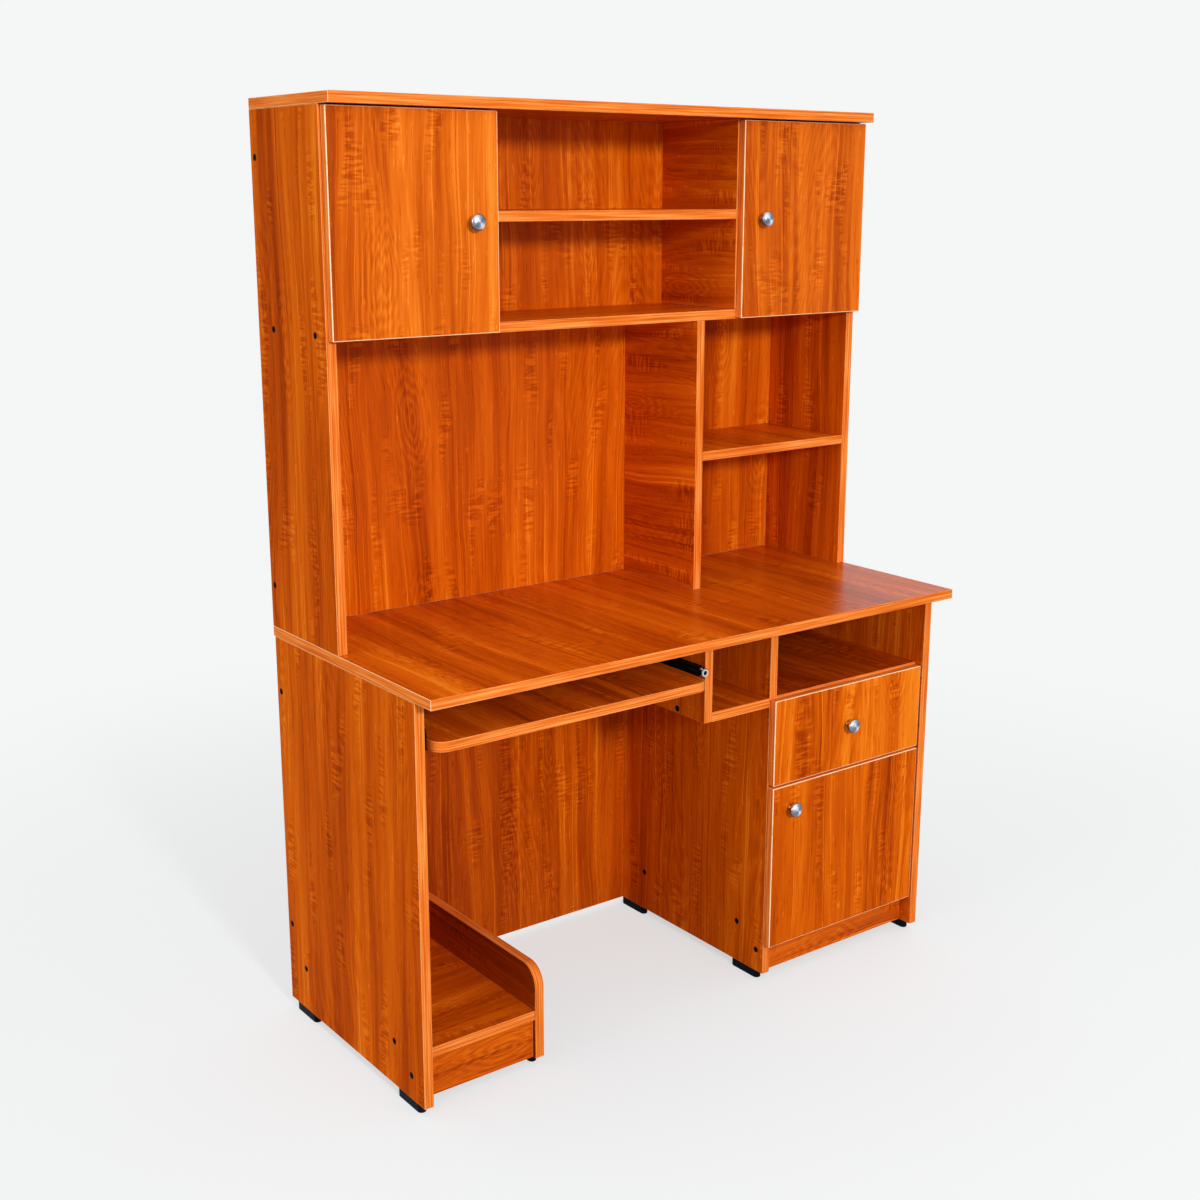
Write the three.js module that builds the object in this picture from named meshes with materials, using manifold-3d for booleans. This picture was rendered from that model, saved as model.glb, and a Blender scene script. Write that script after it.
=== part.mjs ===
// Study desk with a hutch: a desktop on panel legs, a computer stand and a keyboard tray on the left,
// a small open niche, and on the right a cabinet with an open shelf space, a drawer and a door.
// The hutch above has two door cupboards, an open centre bay and two open side shelves.
// Millimetres. The desk group's own frame has X to the right from the desktop's left edge,
// Y to the back from the desktop's front edge and Z up from the floor.

import * as THREE from 'three';
import { mergeVertices } from 'three/addons/utils/BufferGeometryUtils.js';
import Module from 'manifold-3d';

const wasm = await Module();
wasm.setup();

// Overall sizes
const DESK_WIDTH = 1200;
const DESK_DEPTH = 548;
const DESK_HEIGHT = 750;
const TOTAL_HEIGHT = 1665;
const BOARD = 18;

// Clearances and overruns
const SEAT_GAP = 0.3;
const BORE_CLEARANCE = 0.3;
const CUT_OVERRUN = 2;

// Lower desk
const FRONT_OVERHANG = 51;
const BACK_OVERHANG = 5.5;
const BACK_BOARD_SETBACK = 11.5;
const FLOOR_SHELF_HEIGHT = 110;

// Feet
const FOOT_HEIGHT = 16.7;
const FOOT_WIDTH = 16;
const FOOT_LENGTH = 76;
const FOOT_INSET = 18;
const FOOT_END_STEPS = 5;

// Cabinet
const CABINET_WIDTH = 419;
const CABINET_SETBACK = 70.5;
const CABINET_NICHE_HEIGHT = 144.5;
const CABINET_PLINTH_RECESS = 11;

// Small open niche
const NICHE_WIDTH = 143.5;
const NICHE_HEIGHT = 146;

// Computer stand
const STAND_WIDTH = 225;
const STAND_SETBACK = 75.5;
const STAND_PLINTH_RECESS = 8;
const STAND_SHELF_RECESS = 1;
const GUARD_HEIGHT = 190.5;
const GUARD_CORNER_RADIUS = 38;
const GUARD_CORNER_STEPS = 5;

// Drawer front and doors
const FRONT_THICKNESS = 16;
const FRONT_GAP = 1.1;
const FRONT_SIDE_GAP = 2.5;
const DRAWER_FRONT_HEIGHT = 170.5;
const DRAWER_FRONT_DROP = 4;
const DRAWER_DOOR_GAP = 4.5;
const CABINET_DOOR_HEIGHT = 329.5;

// Drawer box
const DRAWER_BOARD = 12;
const DRAWER_BACK_SPACE = 49;
const DRAWER_TOP_SPACE = 11.5;
const DRAWER_LIFT = 15;
const DRAWER_BOTTOM_THICKNESS = 5;
const DRAWER_BOTTOM_LIFT = 10;
const GROOVE_DEPTH = 6;
const DRAWER_KNOB_INSET = 194;
const DRAWER_KNOB_LIFT = 88;

// Keyboard tray
const TRAY_SETBACK = 39;
const TRAY_BACK_SPACE = 99.5;
const TRAY_DROP = 71;
const TRAY_CORNER_RADIUS = 25;
const TRAY_CORNER_STEPS = 4;

// Roller runners of the tray and the drawer
const RUNNER_STEEL = 1.2;
const RUNNER_END_INSET = 6;
const TRAY_RUNNER_SETBACK = 25;
const DRAWER_RUNNER_SETBACK = 6;
const ROLLER_RADIUS = 7.25;
const ROLLER_STEPS = 16;
const FRONT_ROLLER_WIDTH = 4;
const REAR_ROLLER_WIDTH = 3.4;
const ROLLER_HUB_RADIUS = 4.8;
const ROLLER_HUB_DEPTH = 1;
const ROLLER_CENTRE_LIFT = 25.4;
const ROLLER_RUNNING_GAP = 0.3;
const CHANNEL_DEPTH = 4.8;
const TONGUE_HEIGHT = 11;
const AXLE_RADIUS = 2;
const AXLE_SHOULDER_RADIUS = 3.6;
const MOVING_SIDE_GAP = 1;
const ROLLER_SIDE_GAP = 1.9;
const RUNNER_FOOT_WIDTH = 12;
const REAR_ROLLER_INSET = 12;

// Hutch
const HUTCH_TOP_DEPTH = 283.5;
const HUTCH_TOP_OVERHANG = 36;
const HUTCH_BACK_SETBACK = 5.5;
const CUPBOARD_CLEAR_HEIGHT = 353;
const CUPBOARD_WIDTH = 324;
const UPPER_BAY_HEIGHT = 165.5;
const SIDE_NICHE_WIDTH = 380.5;
const SIDE_SHELF_HEIGHT_SHARE = 0.4857;

// Hutch doors
const HUTCH_DOOR_WIDTH = 321;
const LEFT_DOOR_REVEAL = 3.5;
const RIGHT_DOOR_REVEAL = 0.5;
const HUTCH_DOOR_TOP_GAP = 2;
const HUTCH_DOOR_BOTTOM_REVEAL = 1.5;

// Knobs, each with the screw that holds it from behind the board
const KNOB_RADIUS = 14;
const KNOB_PROJECTION = 28;
const KNOB_STEM_RADIUS = 4.5;
const KNOB_STEM_LENGTH = 7;
const KNOB_CONE_LENGTH = 12;
const KNOB_RIM_ROUNDING = 2;
const KNOB_DISH = 0.6;
const KNOB_STEPS = 20;
const KNOB_SCREW_RADIUS = 2;
const KNOB_SCREW_HEAD_RADIUS = 4;
const KNOB_SCREW_HEAD_THICKNESS = 2;
const HUTCH_LEFT_KNOB_INSET = 52;
const HUTCH_RIGHT_KNOB_INSET = 46.5;
const HUTCH_KNOB_LIFT = 186;
const DOOR_KNOB_INSET = 45;
const DOOR_KNOB_DROP = 46.5;

// Concealed cup hinges
const HINGE_END_DISTANCE = 80;
const CUP_RADIUS = 17.6;
const CUP_EDGE_DISTANCE = 22.5;
const CUP_DEPTH = 11.5;
const CUP_STEPS = 16;
const ARM_WIDTH = 12;
const ARM_CUP_OFFSET = 2;
const ARM_HEIGHT = 14;
const ARM_BODY_DEPTH = 9;
const ARM_CRANK_START = 10;
const ARM_CRANK_END = 30;
const ARM_PLATE_START = 22;
const ARM_LENGTH = 72;
const PLATE_HEIGHT = 46;
const PLATE_DEPTH = 2.2;
const PLATE_START = 34;
const PLATE_LENGTH = 30;

// Holes of the case screws
const SCREW_HEAD_RADIUS = 5.3;
const SCREW_HEAD_DEPTH = 3.2;
const SCREW_SHANK_RADIUS = 3.3;
const SCREW_STEPS = 8;
const SHELF_SCREW_FRONT = 73;
const SHELF_SCREW_BACK = 75;
const STAND_SCREW_BACK = 42;
const HUTCH_SCREW_FRONT = 37.5;
const HUTCH_SCREW_BACK = 34;
const BACK_SCREW_LOW = 156;
const BACK_SCREW_HIGH = 101;
const HUTCH_BACK_SCREW_END = 78;
const PLINTH_SCREW_DROP = 30;

// Places worked out from the sizes
const panelBottom = FOOT_HEIGHT + SEAT_GAP;
const desktopBottom = DESK_HEIGHT - BOARD;
const panelTop = desktopBottom - SEAT_GAP;
const panelFront = FRONT_OVERHANG;
const panelBack = DESK_DEPTH - BACK_OVERHANG;
const leftInner = BOARD;
const rightInner = DESK_WIDTH - BOARD;
const cabinetLeft = DESK_WIDTH - CABINET_WIDTH;
const cabinetInner = cabinetLeft + BOARD;
const backFront = DESK_DEPTH - BACK_BOARD_SETBACK - BOARD;
const floorShelfBottom = FLOOR_SHELF_HEIGHT - BOARD;
const nicheRight = cabinetLeft - NICHE_WIDTH;
const nicheLeft = nicheRight - BOARD;
const nicheShelfTop = desktopBottom - NICHE_HEIGHT;
const nicheShelfBottom = nicheShelfTop - BOARD;
const cabinetShelfTop = desktopBottom - CABINET_NICHE_HEIGHT;
const cabinetShelfBottom = cabinetShelfTop - BOARD;
const guardLeft = leftInner + STAND_WIDTH;
const guardRight = guardLeft + BOARD;
const frontBack = CABINET_SETBACK - FRONT_GAP;
const frontFace = frontBack - FRONT_THICKNESS;
const frontRight = rightInner - FRONT_SIDE_GAP;
const drawerFrontTop = cabinetShelfTop - DRAWER_FRONT_DROP;
const drawerFrontBottom = drawerFrontTop - DRAWER_FRONT_HEIGHT;
const cabinetDoorTop = drawerFrontBottom - DRAWER_DOOR_GAP;
const cabinetDoorBottom = cabinetDoorTop - CABINET_DOOR_HEIGHT;
const trayTop = desktopBottom - TRAY_DROP;
const trayBottom = trayTop - BOARD;
const hutchTopBottom = TOTAL_HEIGHT - BOARD;
const hutchTopFront = DESK_DEPTH - HUTCH_TOP_DEPTH;
const hutchFront = hutchTopFront + HUTCH_TOP_OVERHANG;
const hutchBackFront = DESK_DEPTH - HUTCH_BACK_SETBACK - BOARD;
const hutchBoardTop = hutchTopBottom - SEAT_GAP;
const hutchShelfTop = hutchTopBottom - CUPBOARD_CLEAR_HEIGHT;
const hutchShelfBottom = hutchShelfTop - BOARD;
const hutchFoot = DESK_HEIGHT + SEAT_GAP;
const lowerDividerRight = rightInner - SIDE_NICHE_WIDTH;
const lowerDividerLeft = lowerDividerRight - BOARD;
const sideShelfBottom = DESK_HEIGHT + (hutchShelfBottom - DESK_HEIGHT) * SIDE_SHELF_HEIGHT_SHARE;
const centreShelfTop = hutchTopBottom - UPPER_BAY_HEIGHT;
const hutchDoorTop = hutchTopBottom - HUTCH_DOOR_TOP_GAP;
const hutchDoorBottom = hutchShelfBottom + HUTCH_DOOR_BOTTOM_REVEAL;
const hutchDoorBack = hutchFront - FRONT_GAP;
const hutchDoorFace = hutchDoorBack - FRONT_THICKNESS;
const rightDividerLeft = DESK_WIDTH - CUPBOARD_WIDTH;

// Materials
function finish(color, roughness, metalness) {
  return new THREE.MeshStandardMaterial({ color, roughness, metalness });
}

const laminate = () => finish(0xc4550e, 0.38, 0);
const doorLaminate = () => finish(0xdf6618, 0.35, 0);
const drawerBoard = () => finish(0xb04a0c, 0.5, 0);
const blackPlastic = () => finish(0x14161c, 0.5, 0);
const blackSteel = () => finish(0x111214, 0.4, 0.8);
const satinSilver = () => finish(0xb9bdc6, 0.3, 1);
const plateSteel = () => finish(0xa7aab0, 0.35, 1);

// Solids: a geometry becomes a manifold solid and comes back as a geometry
function toSolid(geometry) {
  const plain = geometry.clone();
  plain.deleteAttribute('normal');
  plain.deleteAttribute('uv');
  const merged = mergeVertices(plain);
  const corners = merged.index.array;
  const triVerts = [];
  for (let i = 0; i < corners.length; i += 3) {
    const [a, b, c] = [corners[i], corners[i + 1], corners[i + 2]];
    if (a !== b && b !== c && c !== a) {
      triVerts.push(a, b, c);
    }
  }
  return new wasm.Manifold(new wasm.Mesh({
    numProp: 3,
    vertProperties: new Float32Array(merged.attributes.position.array),
    triVerts: new Uint32Array(triVerts),
  }));
}

function toGeometry(solid) {
  const mesh = solid.getMesh();
  const geometry = new THREE.BufferGeometry();
  geometry.setAttribute('position', new THREE.BufferAttribute(mesh.vertProperties, mesh.numProp));
  geometry.setIndex(new THREE.BufferAttribute(mesh.triVerts, 1));
  geometry.computeVertexNormals();
  return geometry;
}

function cut(geometry, tools) {
  if (tools.length === 0) {
    return geometry;
  }
  return toGeometry(tools.reduce((solid, tool) => solid.subtract(toSolid(tool)), toSolid(geometry)));
}

function join(geometries) {
  return toGeometry(geometries.map(toSolid).reduce((whole, solid) => whole.add(solid)));
}

// Geometry helpers in the desk frame
function box(x0, x1, y0, y1, z0, z1) {
  return new THREE.Box3(new THREE.Vector3(x0, y0, z0), new THREE.Vector3(x1, y1, z1));
}

function boxGeometry(space) {
  const size = space.getSize(new THREE.Vector3());
  const centre = space.getCenter(new THREE.Vector3());
  return new THREE.BoxGeometry(size.x, size.y, size.z).translate(centre.x, centre.y, centre.z);
}

const PROFILE_YZ = new THREE.Matrix4().makeBasis(
  new THREE.Vector3(0, 1, 0), new THREE.Vector3(0, 0, 1), new THREE.Vector3(1, 0, 0));
const PROFILE_XZ = new THREE.Matrix4().makeBasis(
  new THREE.Vector3(1, 0, 0), new THREE.Vector3(0, 0, 1), new THREE.Vector3(0, -1, 0));

function outline(points) {
  return new THREE.Shape(points.map(([a, b]) => new THREE.Vector2(a, b)));
}

function prism(shape, depth, curveSegments = 1) {
  return new THREE.ExtrudeGeometry(shape, { depth, bevelEnabled: false, curveSegments });
}

// A profile of [x, z] points, run along Y from front to back
function runAlongY(points, front, back) {
  return prism(outline(points), back - front).applyMatrix4(PROFILE_XZ).translate(0, back, 0);
}

// A lathe turned about X: profile points are [radius, distance along X], in the order of rising distance
function turnAboutX(points, steps) {
  const profile = points.map(([radius, along]) => new THREE.Vector2(radius, along));
  return new THREE.LatheGeometry(profile, steps).rotateZ(-Math.PI / 2);
}

// A lathe turned about Y, standing towards the front: profile points are [radius, distance to the front]
function turnTowardsFront(points, steps) {
  const profile = points.map(([radius, out]) => new THREE.Vector2(radius, out));
  return new THREE.LatheGeometry(profile, steps).rotateX(Math.PI);
}

// Case screw holes: each one enters an upright board's face at x and runs along X by its direction
function caseScrews() {
  const backMiddle = backFront + BOARD / 2;
  const shelfMiddle = FLOOR_SHELF_HEIGHT - BOARD / 2;
  const nicheMiddle = nicheShelfTop - BOARD / 2;
  const cabinetShelfMiddle = cabinetShelfTop - BOARD / 2;
  const plinthHeight = floorShelfBottom - PLINTH_SCREW_DROP;
  const cabinetPlinthMiddle = CABINET_SETBACK + CABINET_PLINTH_RECESS + BOARD / 2;
  const standPlinthMiddle = STAND_SETBACK + STAND_PLINTH_RECESS + BOARD / 2;
  const hutchBackMiddle = hutchBackFront + BOARD / 2;
  const hutchShelfMiddle = hutchShelfTop - BOARD / 2;
  const sideShelfMiddle = sideShelfBottom + BOARD / 2;
  const shelfRow = [STAND_SETBACK + SHELF_SCREW_FRONT, backFront - SHELF_SCREW_BACK];
  const standRow = [STAND_SETBACK + SHELF_SCREW_FRONT, backFront - STAND_SCREW_BACK];
  const hutchRow = [hutchFront + HUTCH_SCREW_FRONT, hutchBackFront - HUTCH_SCREW_BACK];
  const backColumn = [panelBottom + BACK_SCREW_LOW, panelTop - BACK_SCREW_HIGH];
  const hutchColumn = [hutchFoot + HUTCH_BACK_SCREW_END, hutchBoardTop - HUTCH_BACK_SCREW_END];
  const row = (x, direction, ys, z) => ys.map((y) => ({ x, direction, y, z }));
  const column = (x, direction, y, zs) => zs.map((z) => ({ x, direction, y, z }));
  return [
    ...column(0, 1, backMiddle, backColumn),
    ...row(0, 1, standRow, shelfMiddle),
    ...row(0, 1, [standPlinthMiddle], plinthHeight),
    ...row(guardRight, -1, standRow, shelfMiddle),
    ...row(guardRight, -1, [standPlinthMiddle], plinthHeight),
    ...row(nicheLeft, 1, shelfRow, nicheMiddle),
    ...row(cabinetLeft, 1, shelfRow, shelfMiddle),
    ...row(cabinetLeft, 1, [cabinetPlinthMiddle], plinthHeight),
    ...column(DESK_WIDTH, -1, backMiddle, backColumn),
    ...row(DESK_WIDTH, -1, shelfRow, shelfMiddle),
    ...row(DESK_WIDTH, -1, shelfRow, cabinetShelfMiddle),
    ...row(DESK_WIDTH, -1, [cabinetPlinthMiddle], plinthHeight),
    ...column(0, 1, hutchBackMiddle, hutchColumn),
    ...row(0, 1, hutchRow, hutchShelfMiddle),
    ...column(DESK_WIDTH, -1, hutchBackMiddle, hutchColumn),
    ...row(DESK_WIDTH, -1, hutchRow, hutchShelfMiddle),
    ...row(DESK_WIDTH, -1, hutchRow, sideShelfMiddle),
  ];
}

// One hole: a counterbore for the head and a clearance hole for the shank, right through the board
function screwHole(screw) {
  const end = BOARD + SEAT_GAP / 2;
  const points = [
    [0, -CUT_OVERRUN],
    [SCREW_HEAD_RADIUS, -CUT_OVERRUN],
    [SCREW_HEAD_RADIUS, SCREW_HEAD_DEPTH],
    [SCREW_SHANK_RADIUS, SCREW_HEAD_DEPTH],
    [SCREW_SHANK_RADIUS, end],
    [0, end],
  ];
  const hole = turnAboutX(points, SCREW_STEPS);
  if (screw.direction < 0) {
    hole.rotateZ(Math.PI);
  }
  hole.translate(screw.x, screw.y, screw.z);
  hole.computeBoundingBox();
  return hole;
}

const SCREW_HOLES = caseScrews().map(screwHole);

// The part: every mesh goes into the desk group, whose origin is the desktop's front left corner
const desk = new THREE.Group();

function addMesh(name, geometry, material) {
  geometry.computeBoundingBox();
  const centre = geometry.boundingBox.getCenter(new THREE.Vector3());
  const mesh = new THREE.Mesh(geometry.translate(-centre.x, -centre.y, -centre.z), material);
  mesh.name = name;
  mesh.position.copy(centre);
  desk.add(mesh);
}

// A board is drilled wherever a screw hole reaches it
function drilled(geometry) {
  geometry.computeBoundingBox();
  return cut(geometry, SCREW_HOLES.filter((hole) => hole.boundingBox.intersectsBox(geometry.boundingBox)));
}

function addBoard(name, space, material = laminate()) {
  addMesh(name, drilled(boxGeometry(space)), material);
}

// Lower desk boards
function addDesktop() {
  addBoard('desktop', box(0, DESK_WIDTH, 0, DESK_DEPTH, desktopBottom, DESK_HEIGHT));
}

function addSidePanels() {
  addBoard('left_side_panel', box(0, leftInner, panelFront, panelBack, panelBottom, panelTop));
  addBoard('right_side_panel', box(rightInner, DESK_WIDTH, panelFront, panelBack, panelBottom, panelTop));
}

function addBackBoards() {
  const back = backFront + BOARD;
  const modestyRight = cabinetLeft - SEAT_GAP;
  const cabinetBackLeft = cabinetInner + SEAT_GAP;
  const cabinetBackRight = rightInner - SEAT_GAP;
  const modesty = box(leftInner + SEAT_GAP, modestyRight, backFront, back, panelBottom, panelTop);
  const cabinetBack = box(cabinetBackLeft, cabinetBackRight, backFront, back, panelBottom, panelTop);
  addBoard('modesty_panel', modesty);
  addBoard('cabinet_back_panel', cabinetBack);
}

function addCabinetBoards() {
  const left = cabinetInner + SEAT_GAP;
  const right = rightInner - SEAT_GAP;
  const front = CABINET_SETBACK;
  const back = backFront - SEAT_GAP;
  const plinthFront = front + CABINET_PLINTH_RECESS;
  const plinthTop = floorShelfBottom - SEAT_GAP;
  addBoard('cabinet_left_panel', box(cabinetLeft, cabinetInner, front, panelBack, panelBottom, panelTop));
  addBoard('cabinet_niche_shelf', box(left, right, front, back, cabinetShelfBottom, cabinetShelfTop));
  addBoard('cabinet_bottom_shelf', box(left, right, front, back, floorShelfBottom, FLOOR_SHELF_HEIGHT));
  addBoard('cabinet_plinth', box(left, right, plinthFront, plinthFront + BOARD, panelBottom, plinthTop));
}

function addNicheBoards() {
  const front = CABINET_SETBACK;
  const back = backFront - SEAT_GAP;
  const shelfLeft = nicheRight + SEAT_GAP;
  const shelfRight = cabinetLeft - SEAT_GAP;
  addBoard('niche_upright', box(nicheLeft, nicheRight, front, back, nicheShelfBottom, panelTop));
  addBoard('niche_shelf', box(shelfLeft, shelfRight, front, back, nicheShelfBottom, nicheShelfTop));
}

// Computer stand: a shelf and plinth between the left side panel and a low guard panel
function addComputerStand() {
  const left = leftInner + SEAT_GAP;
  const right = guardLeft - SEAT_GAP;
  const back = backFront - SEAT_GAP;
  const shelfFront = STAND_SETBACK + STAND_SHELF_RECESS;
  const plinthFront = STAND_SETBACK + STAND_PLINTH_RECESS;
  const plinthTop = floorShelfBottom - SEAT_GAP;
  addBoard('cpu_shelf', box(left, right, shelfFront, back, floorShelfBottom, FLOOR_SHELF_HEIGHT));
  addBoard('cpu_plinth', box(left, right, plinthFront, plinthFront + BOARD, panelBottom, plinthTop));
  addMesh('cpu_guard_panel', drilled(guardGeometry(back)), laminate());
}

function guardGeometry(back) {
  const side = new THREE.Shape();
  side.moveTo(STAND_SETBACK, panelBottom);
  side.lineTo(back, panelBottom);
  side.lineTo(back, GUARD_HEIGHT);
  side.lineTo(STAND_SETBACK + GUARD_CORNER_RADIUS, GUARD_HEIGHT);
  side.absarc(STAND_SETBACK + GUARD_CORNER_RADIUS, GUARD_HEIGHT - GUARD_CORNER_RADIUS,
    GUARD_CORNER_RADIUS, Math.PI / 2, Math.PI, false);
  side.closePath();
  return prism(side, BOARD, GUARD_CORNER_STEPS).applyMatrix4(PROFILE_YZ).translate(guardLeft, 0, 0);
}

// Feet: a round-ended glide under both ends of each upright that stands on the floor
function footGeometry(panelLeft, front) {
  const radius = FOOT_WIDTH / 2;
  const middle = panelLeft + BOARD / 2;
  const plan = new THREE.Shape();
  plan.absarc(middle, front + FOOT_LENGTH - radius, radius, 0, Math.PI, false);
  plan.absarc(middle, front + radius, radius, Math.PI, Math.PI * 2, false);
  plan.closePath();
  return prism(plan, FOOT_HEIGHT, FOOT_END_STEPS);
}

function addFeet() {
  const backRow = panelBack - FOOT_INSET - FOOT_LENGTH;
  const guardBackRow = backFront - FOOT_INSET - FOOT_LENGTH;
  const uprights = [
    ['left', 0, panelFront + FOOT_INSET, backRow],
    ['guard', guardLeft, STAND_SETBACK + FOOT_INSET, guardBackRow],
    ['cabinet', cabinetLeft, CABINET_SETBACK + FOOT_INSET, backRow],
    ['right', rightInner, panelFront + FOOT_INSET, backRow],
  ];
  for (const [name, panelLeft, front, back] of uprights) {
    addMesh(`${name}_front_foot`, footGeometry(panelLeft, front), blackPlastic());
    addMesh(`${name}_back_foot`, footGeometry(panelLeft, back), blackPlastic());
  }
}

// Hutch boards
function addHutchBoards() {
  const left = leftInner + SEAT_GAP;
  const right = rightInner - SEAT_GAP;
  const back = hutchBackFront - SEAT_GAP;
  const boardBack = hutchBackFront + BOARD;
  const upperFoot = hutchShelfTop + SEAT_GAP;
  const lowerTop = hutchShelfBottom - SEAT_GAP;
  const bayLeft = CUPBOARD_WIDTH + SEAT_GAP;
  const bayRight = rightDividerLeft - SEAT_GAP;
  const leftDividerLeft = CUPBOARD_WIDTH - BOARD;
  const rightDividerRight = rightDividerLeft + BOARD;
  const centreShelfBottom = centreShelfTop - BOARD;
  const sideShelfLeft = lowerDividerRight + SEAT_GAP;
  const sideShelfTop = sideShelfBottom + BOARD;
  const front = hutchFront;
  addBoard('hutch_left_panel', box(0, leftInner, front, DESK_DEPTH, hutchFoot, hutchBoardTop));
  addBoard('hutch_right_panel', box(rightInner, DESK_WIDTH, front, DESK_DEPTH, hutchFoot, hutchBoardTop));
  addBoard('hutch_top_board', box(0, DESK_WIDTH, hutchTopFront, DESK_DEPTH, hutchTopBottom, TOTAL_HEIGHT));
  addBoard('hutch_back_panel', box(left, right, hutchBackFront, boardBack, hutchFoot, hutchBoardTop));
  addBoard('hutch_bottom_shelf', box(left, right, front, back, hutchShelfBottom, hutchShelfTop));
  addBoard('hutch_left_divider', box(leftDividerLeft, CUPBOARD_WIDTH, front, back, upperFoot, hutchBoardTop));
  addBoard('hutch_right_divider',
    box(rightDividerLeft, rightDividerRight, front, back, upperFoot, hutchBoardTop));
  addBoard('hutch_centre_shelf', box(bayLeft, bayRight, front, back, centreShelfBottom, centreShelfTop));
  addBoard('hutch_lower_divider', box(lowerDividerLeft, lowerDividerRight, front, back, hutchFoot, lowerTop));
  addBoard('hutch_side_shelf', box(sideShelfLeft, right, front, back, sideShelfBottom, sideShelfTop));
}

// Knobs: the profile is [radius, distance in front of the board's face], from the head of the screw
// on the board's inner face, along its shank through the board, and out to the knob's dished front
function knobGeometry(x, face, z) {
  const headSeat = -FRONT_THICKNESS - SEAT_GAP;
  const coneEnd = KNOB_STEM_LENGTH + KNOB_CONE_LENGTH;
  const points = [
    [0, headSeat - KNOB_SCREW_HEAD_THICKNESS],
    [KNOB_SCREW_HEAD_RADIUS, headSeat - KNOB_SCREW_HEAD_THICKNESS],
    [KNOB_SCREW_HEAD_RADIUS, headSeat],
    [KNOB_SCREW_RADIUS, headSeat],
    [KNOB_SCREW_RADIUS, SEAT_GAP],
    [KNOB_STEM_RADIUS, SEAT_GAP],
    [KNOB_STEM_RADIUS, KNOB_STEM_LENGTH],
    [KNOB_RADIUS - KNOB_RIM_ROUNDING, coneEnd],
    [KNOB_RADIUS, coneEnd + KNOB_RIM_ROUNDING],
    [KNOB_RADIUS, KNOB_PROJECTION - KNOB_RIM_ROUNDING],
    [KNOB_RADIUS - KNOB_RIM_ROUNDING, KNOB_PROJECTION],
    [KNOB_RADIUS - 2 * KNOB_RIM_ROUNDING, KNOB_PROJECTION - KNOB_DISH],
    [0, KNOB_PROJECTION - KNOB_DISH],
  ];
  return turnTowardsFront(points, KNOB_STEPS).translate(x, face, z);
}

function knobBore(x, face, z) {
  const radius = KNOB_SCREW_RADIUS + BORE_CLEARANCE;
  const back = -FRONT_THICKNESS - CUT_OVERRUN;
  const points = [[0, back], [radius, back], [radius, CUT_OVERRUN], [0, CUT_OVERRUN]];
  return turnTowardsFront(points, KNOB_STEPS).translate(x, face, z);
}

function addKnob(prefix, x, face, z) {
  addMesh(`${prefix}_knob`, knobGeometry(x, face, z), satinSilver());
}

// Cup hinges. A hinge is placed by the door's hinge edge, the way from that edge into the door (side),
// the door's back face and its height. The door has a round recess for the cup.
function cupRecess(edge, side, back, z) {
  const points = [[0, -CUT_OVERRUN], [CUP_RADIUS, -CUT_OVERRUN], [CUP_RADIUS, CUP_DEPTH], [0, CUP_DEPTH]];
  return turnTowardsFront(points, CUP_STEPS).translate(edge + side * CUP_EDGE_DISTANCE, back, z);
}

// The arm is drawn in plan: how far it stands off the panel's inner face, and how far behind the door
function armGeometry(panelFace, edge, side, back, z) {
  const cupCentre = side * (edge - panelFace) + CUP_EDGE_DISTANCE;
  const tipNear = cupCentre + ARM_CUP_OFFSET - ARM_WIDTH / 2;
  const tipFar = tipNear + ARM_WIDTH;
  const tip = SEAT_GAP - CUP_DEPTH;
  const plan = [
    [tipNear, tip],
    [tipFar, tip],
    [tipFar, ARM_CRANK_START],
    [ARM_BODY_DEPTH, ARM_CRANK_END],
    [ARM_BODY_DEPTH, ARM_LENGTH],
    [SEAT_GAP, ARM_LENGTH],
    [SEAT_GAP, ARM_PLATE_START],
    [tipNear, ARM_CRANK_START],
  ];
  const place = ([off, behind]) => [panelFace + side * off, back + behind];
  const placed = plan.map(place);
  const ordered = side > 0 ? placed : placed.reverse();
  const arm = prism(outline(ordered), ARM_HEIGHT).translate(0, 0, z - ARM_HEIGHT / 2);
  const plateFace = panelFace + side * SEAT_GAP;
  const plateOuter = panelFace + side * (SEAT_GAP + PLATE_DEPTH);
  const plateFront = back + PLATE_START;
  const plate = boxGeometry(box(
    Math.min(plateFace, plateOuter), Math.max(plateFace, plateOuter),
    plateFront, plateFront + PLATE_LENGTH,
    z - PLATE_HEIGHT / 2, z + PLATE_HEIGHT / 2));
  return join([arm, plate]);
}

function hingeHeights(bottom, top) {
  return [bottom + HINGE_END_DISTANCE, top - HINGE_END_DISTANCE];
}

// A hinged door: its board and knob, with the two hinge arms on the case beside it
function addDoor(prefix, space, knob, hinge) {
  const face = space.min.y;
  const heights = hingeHeights(space.min.z, space.max.z);
  const recesses = heights.map((z) => cupRecess(hinge.edge, hinge.side, space.max.y, z));
  const arms = heights.map((z) => armGeometry(hinge.panelFace, hinge.edge, hinge.side, space.max.y, z));
  const panel = cut(boxGeometry(space), [...recesses, knobBore(knob.x, face, knob.z)]);
  addMesh(`${prefix}_panel`, panel, doorLaminate());
  addMesh(`${prefix}_lower_hinge_arm`, arms[0], plateSteel());
  addMesh(`${prefix}_upper_hinge_arm`, arms[1], plateSteel());
  addKnob(prefix, knob.x, face, knob.z);
}

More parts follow.
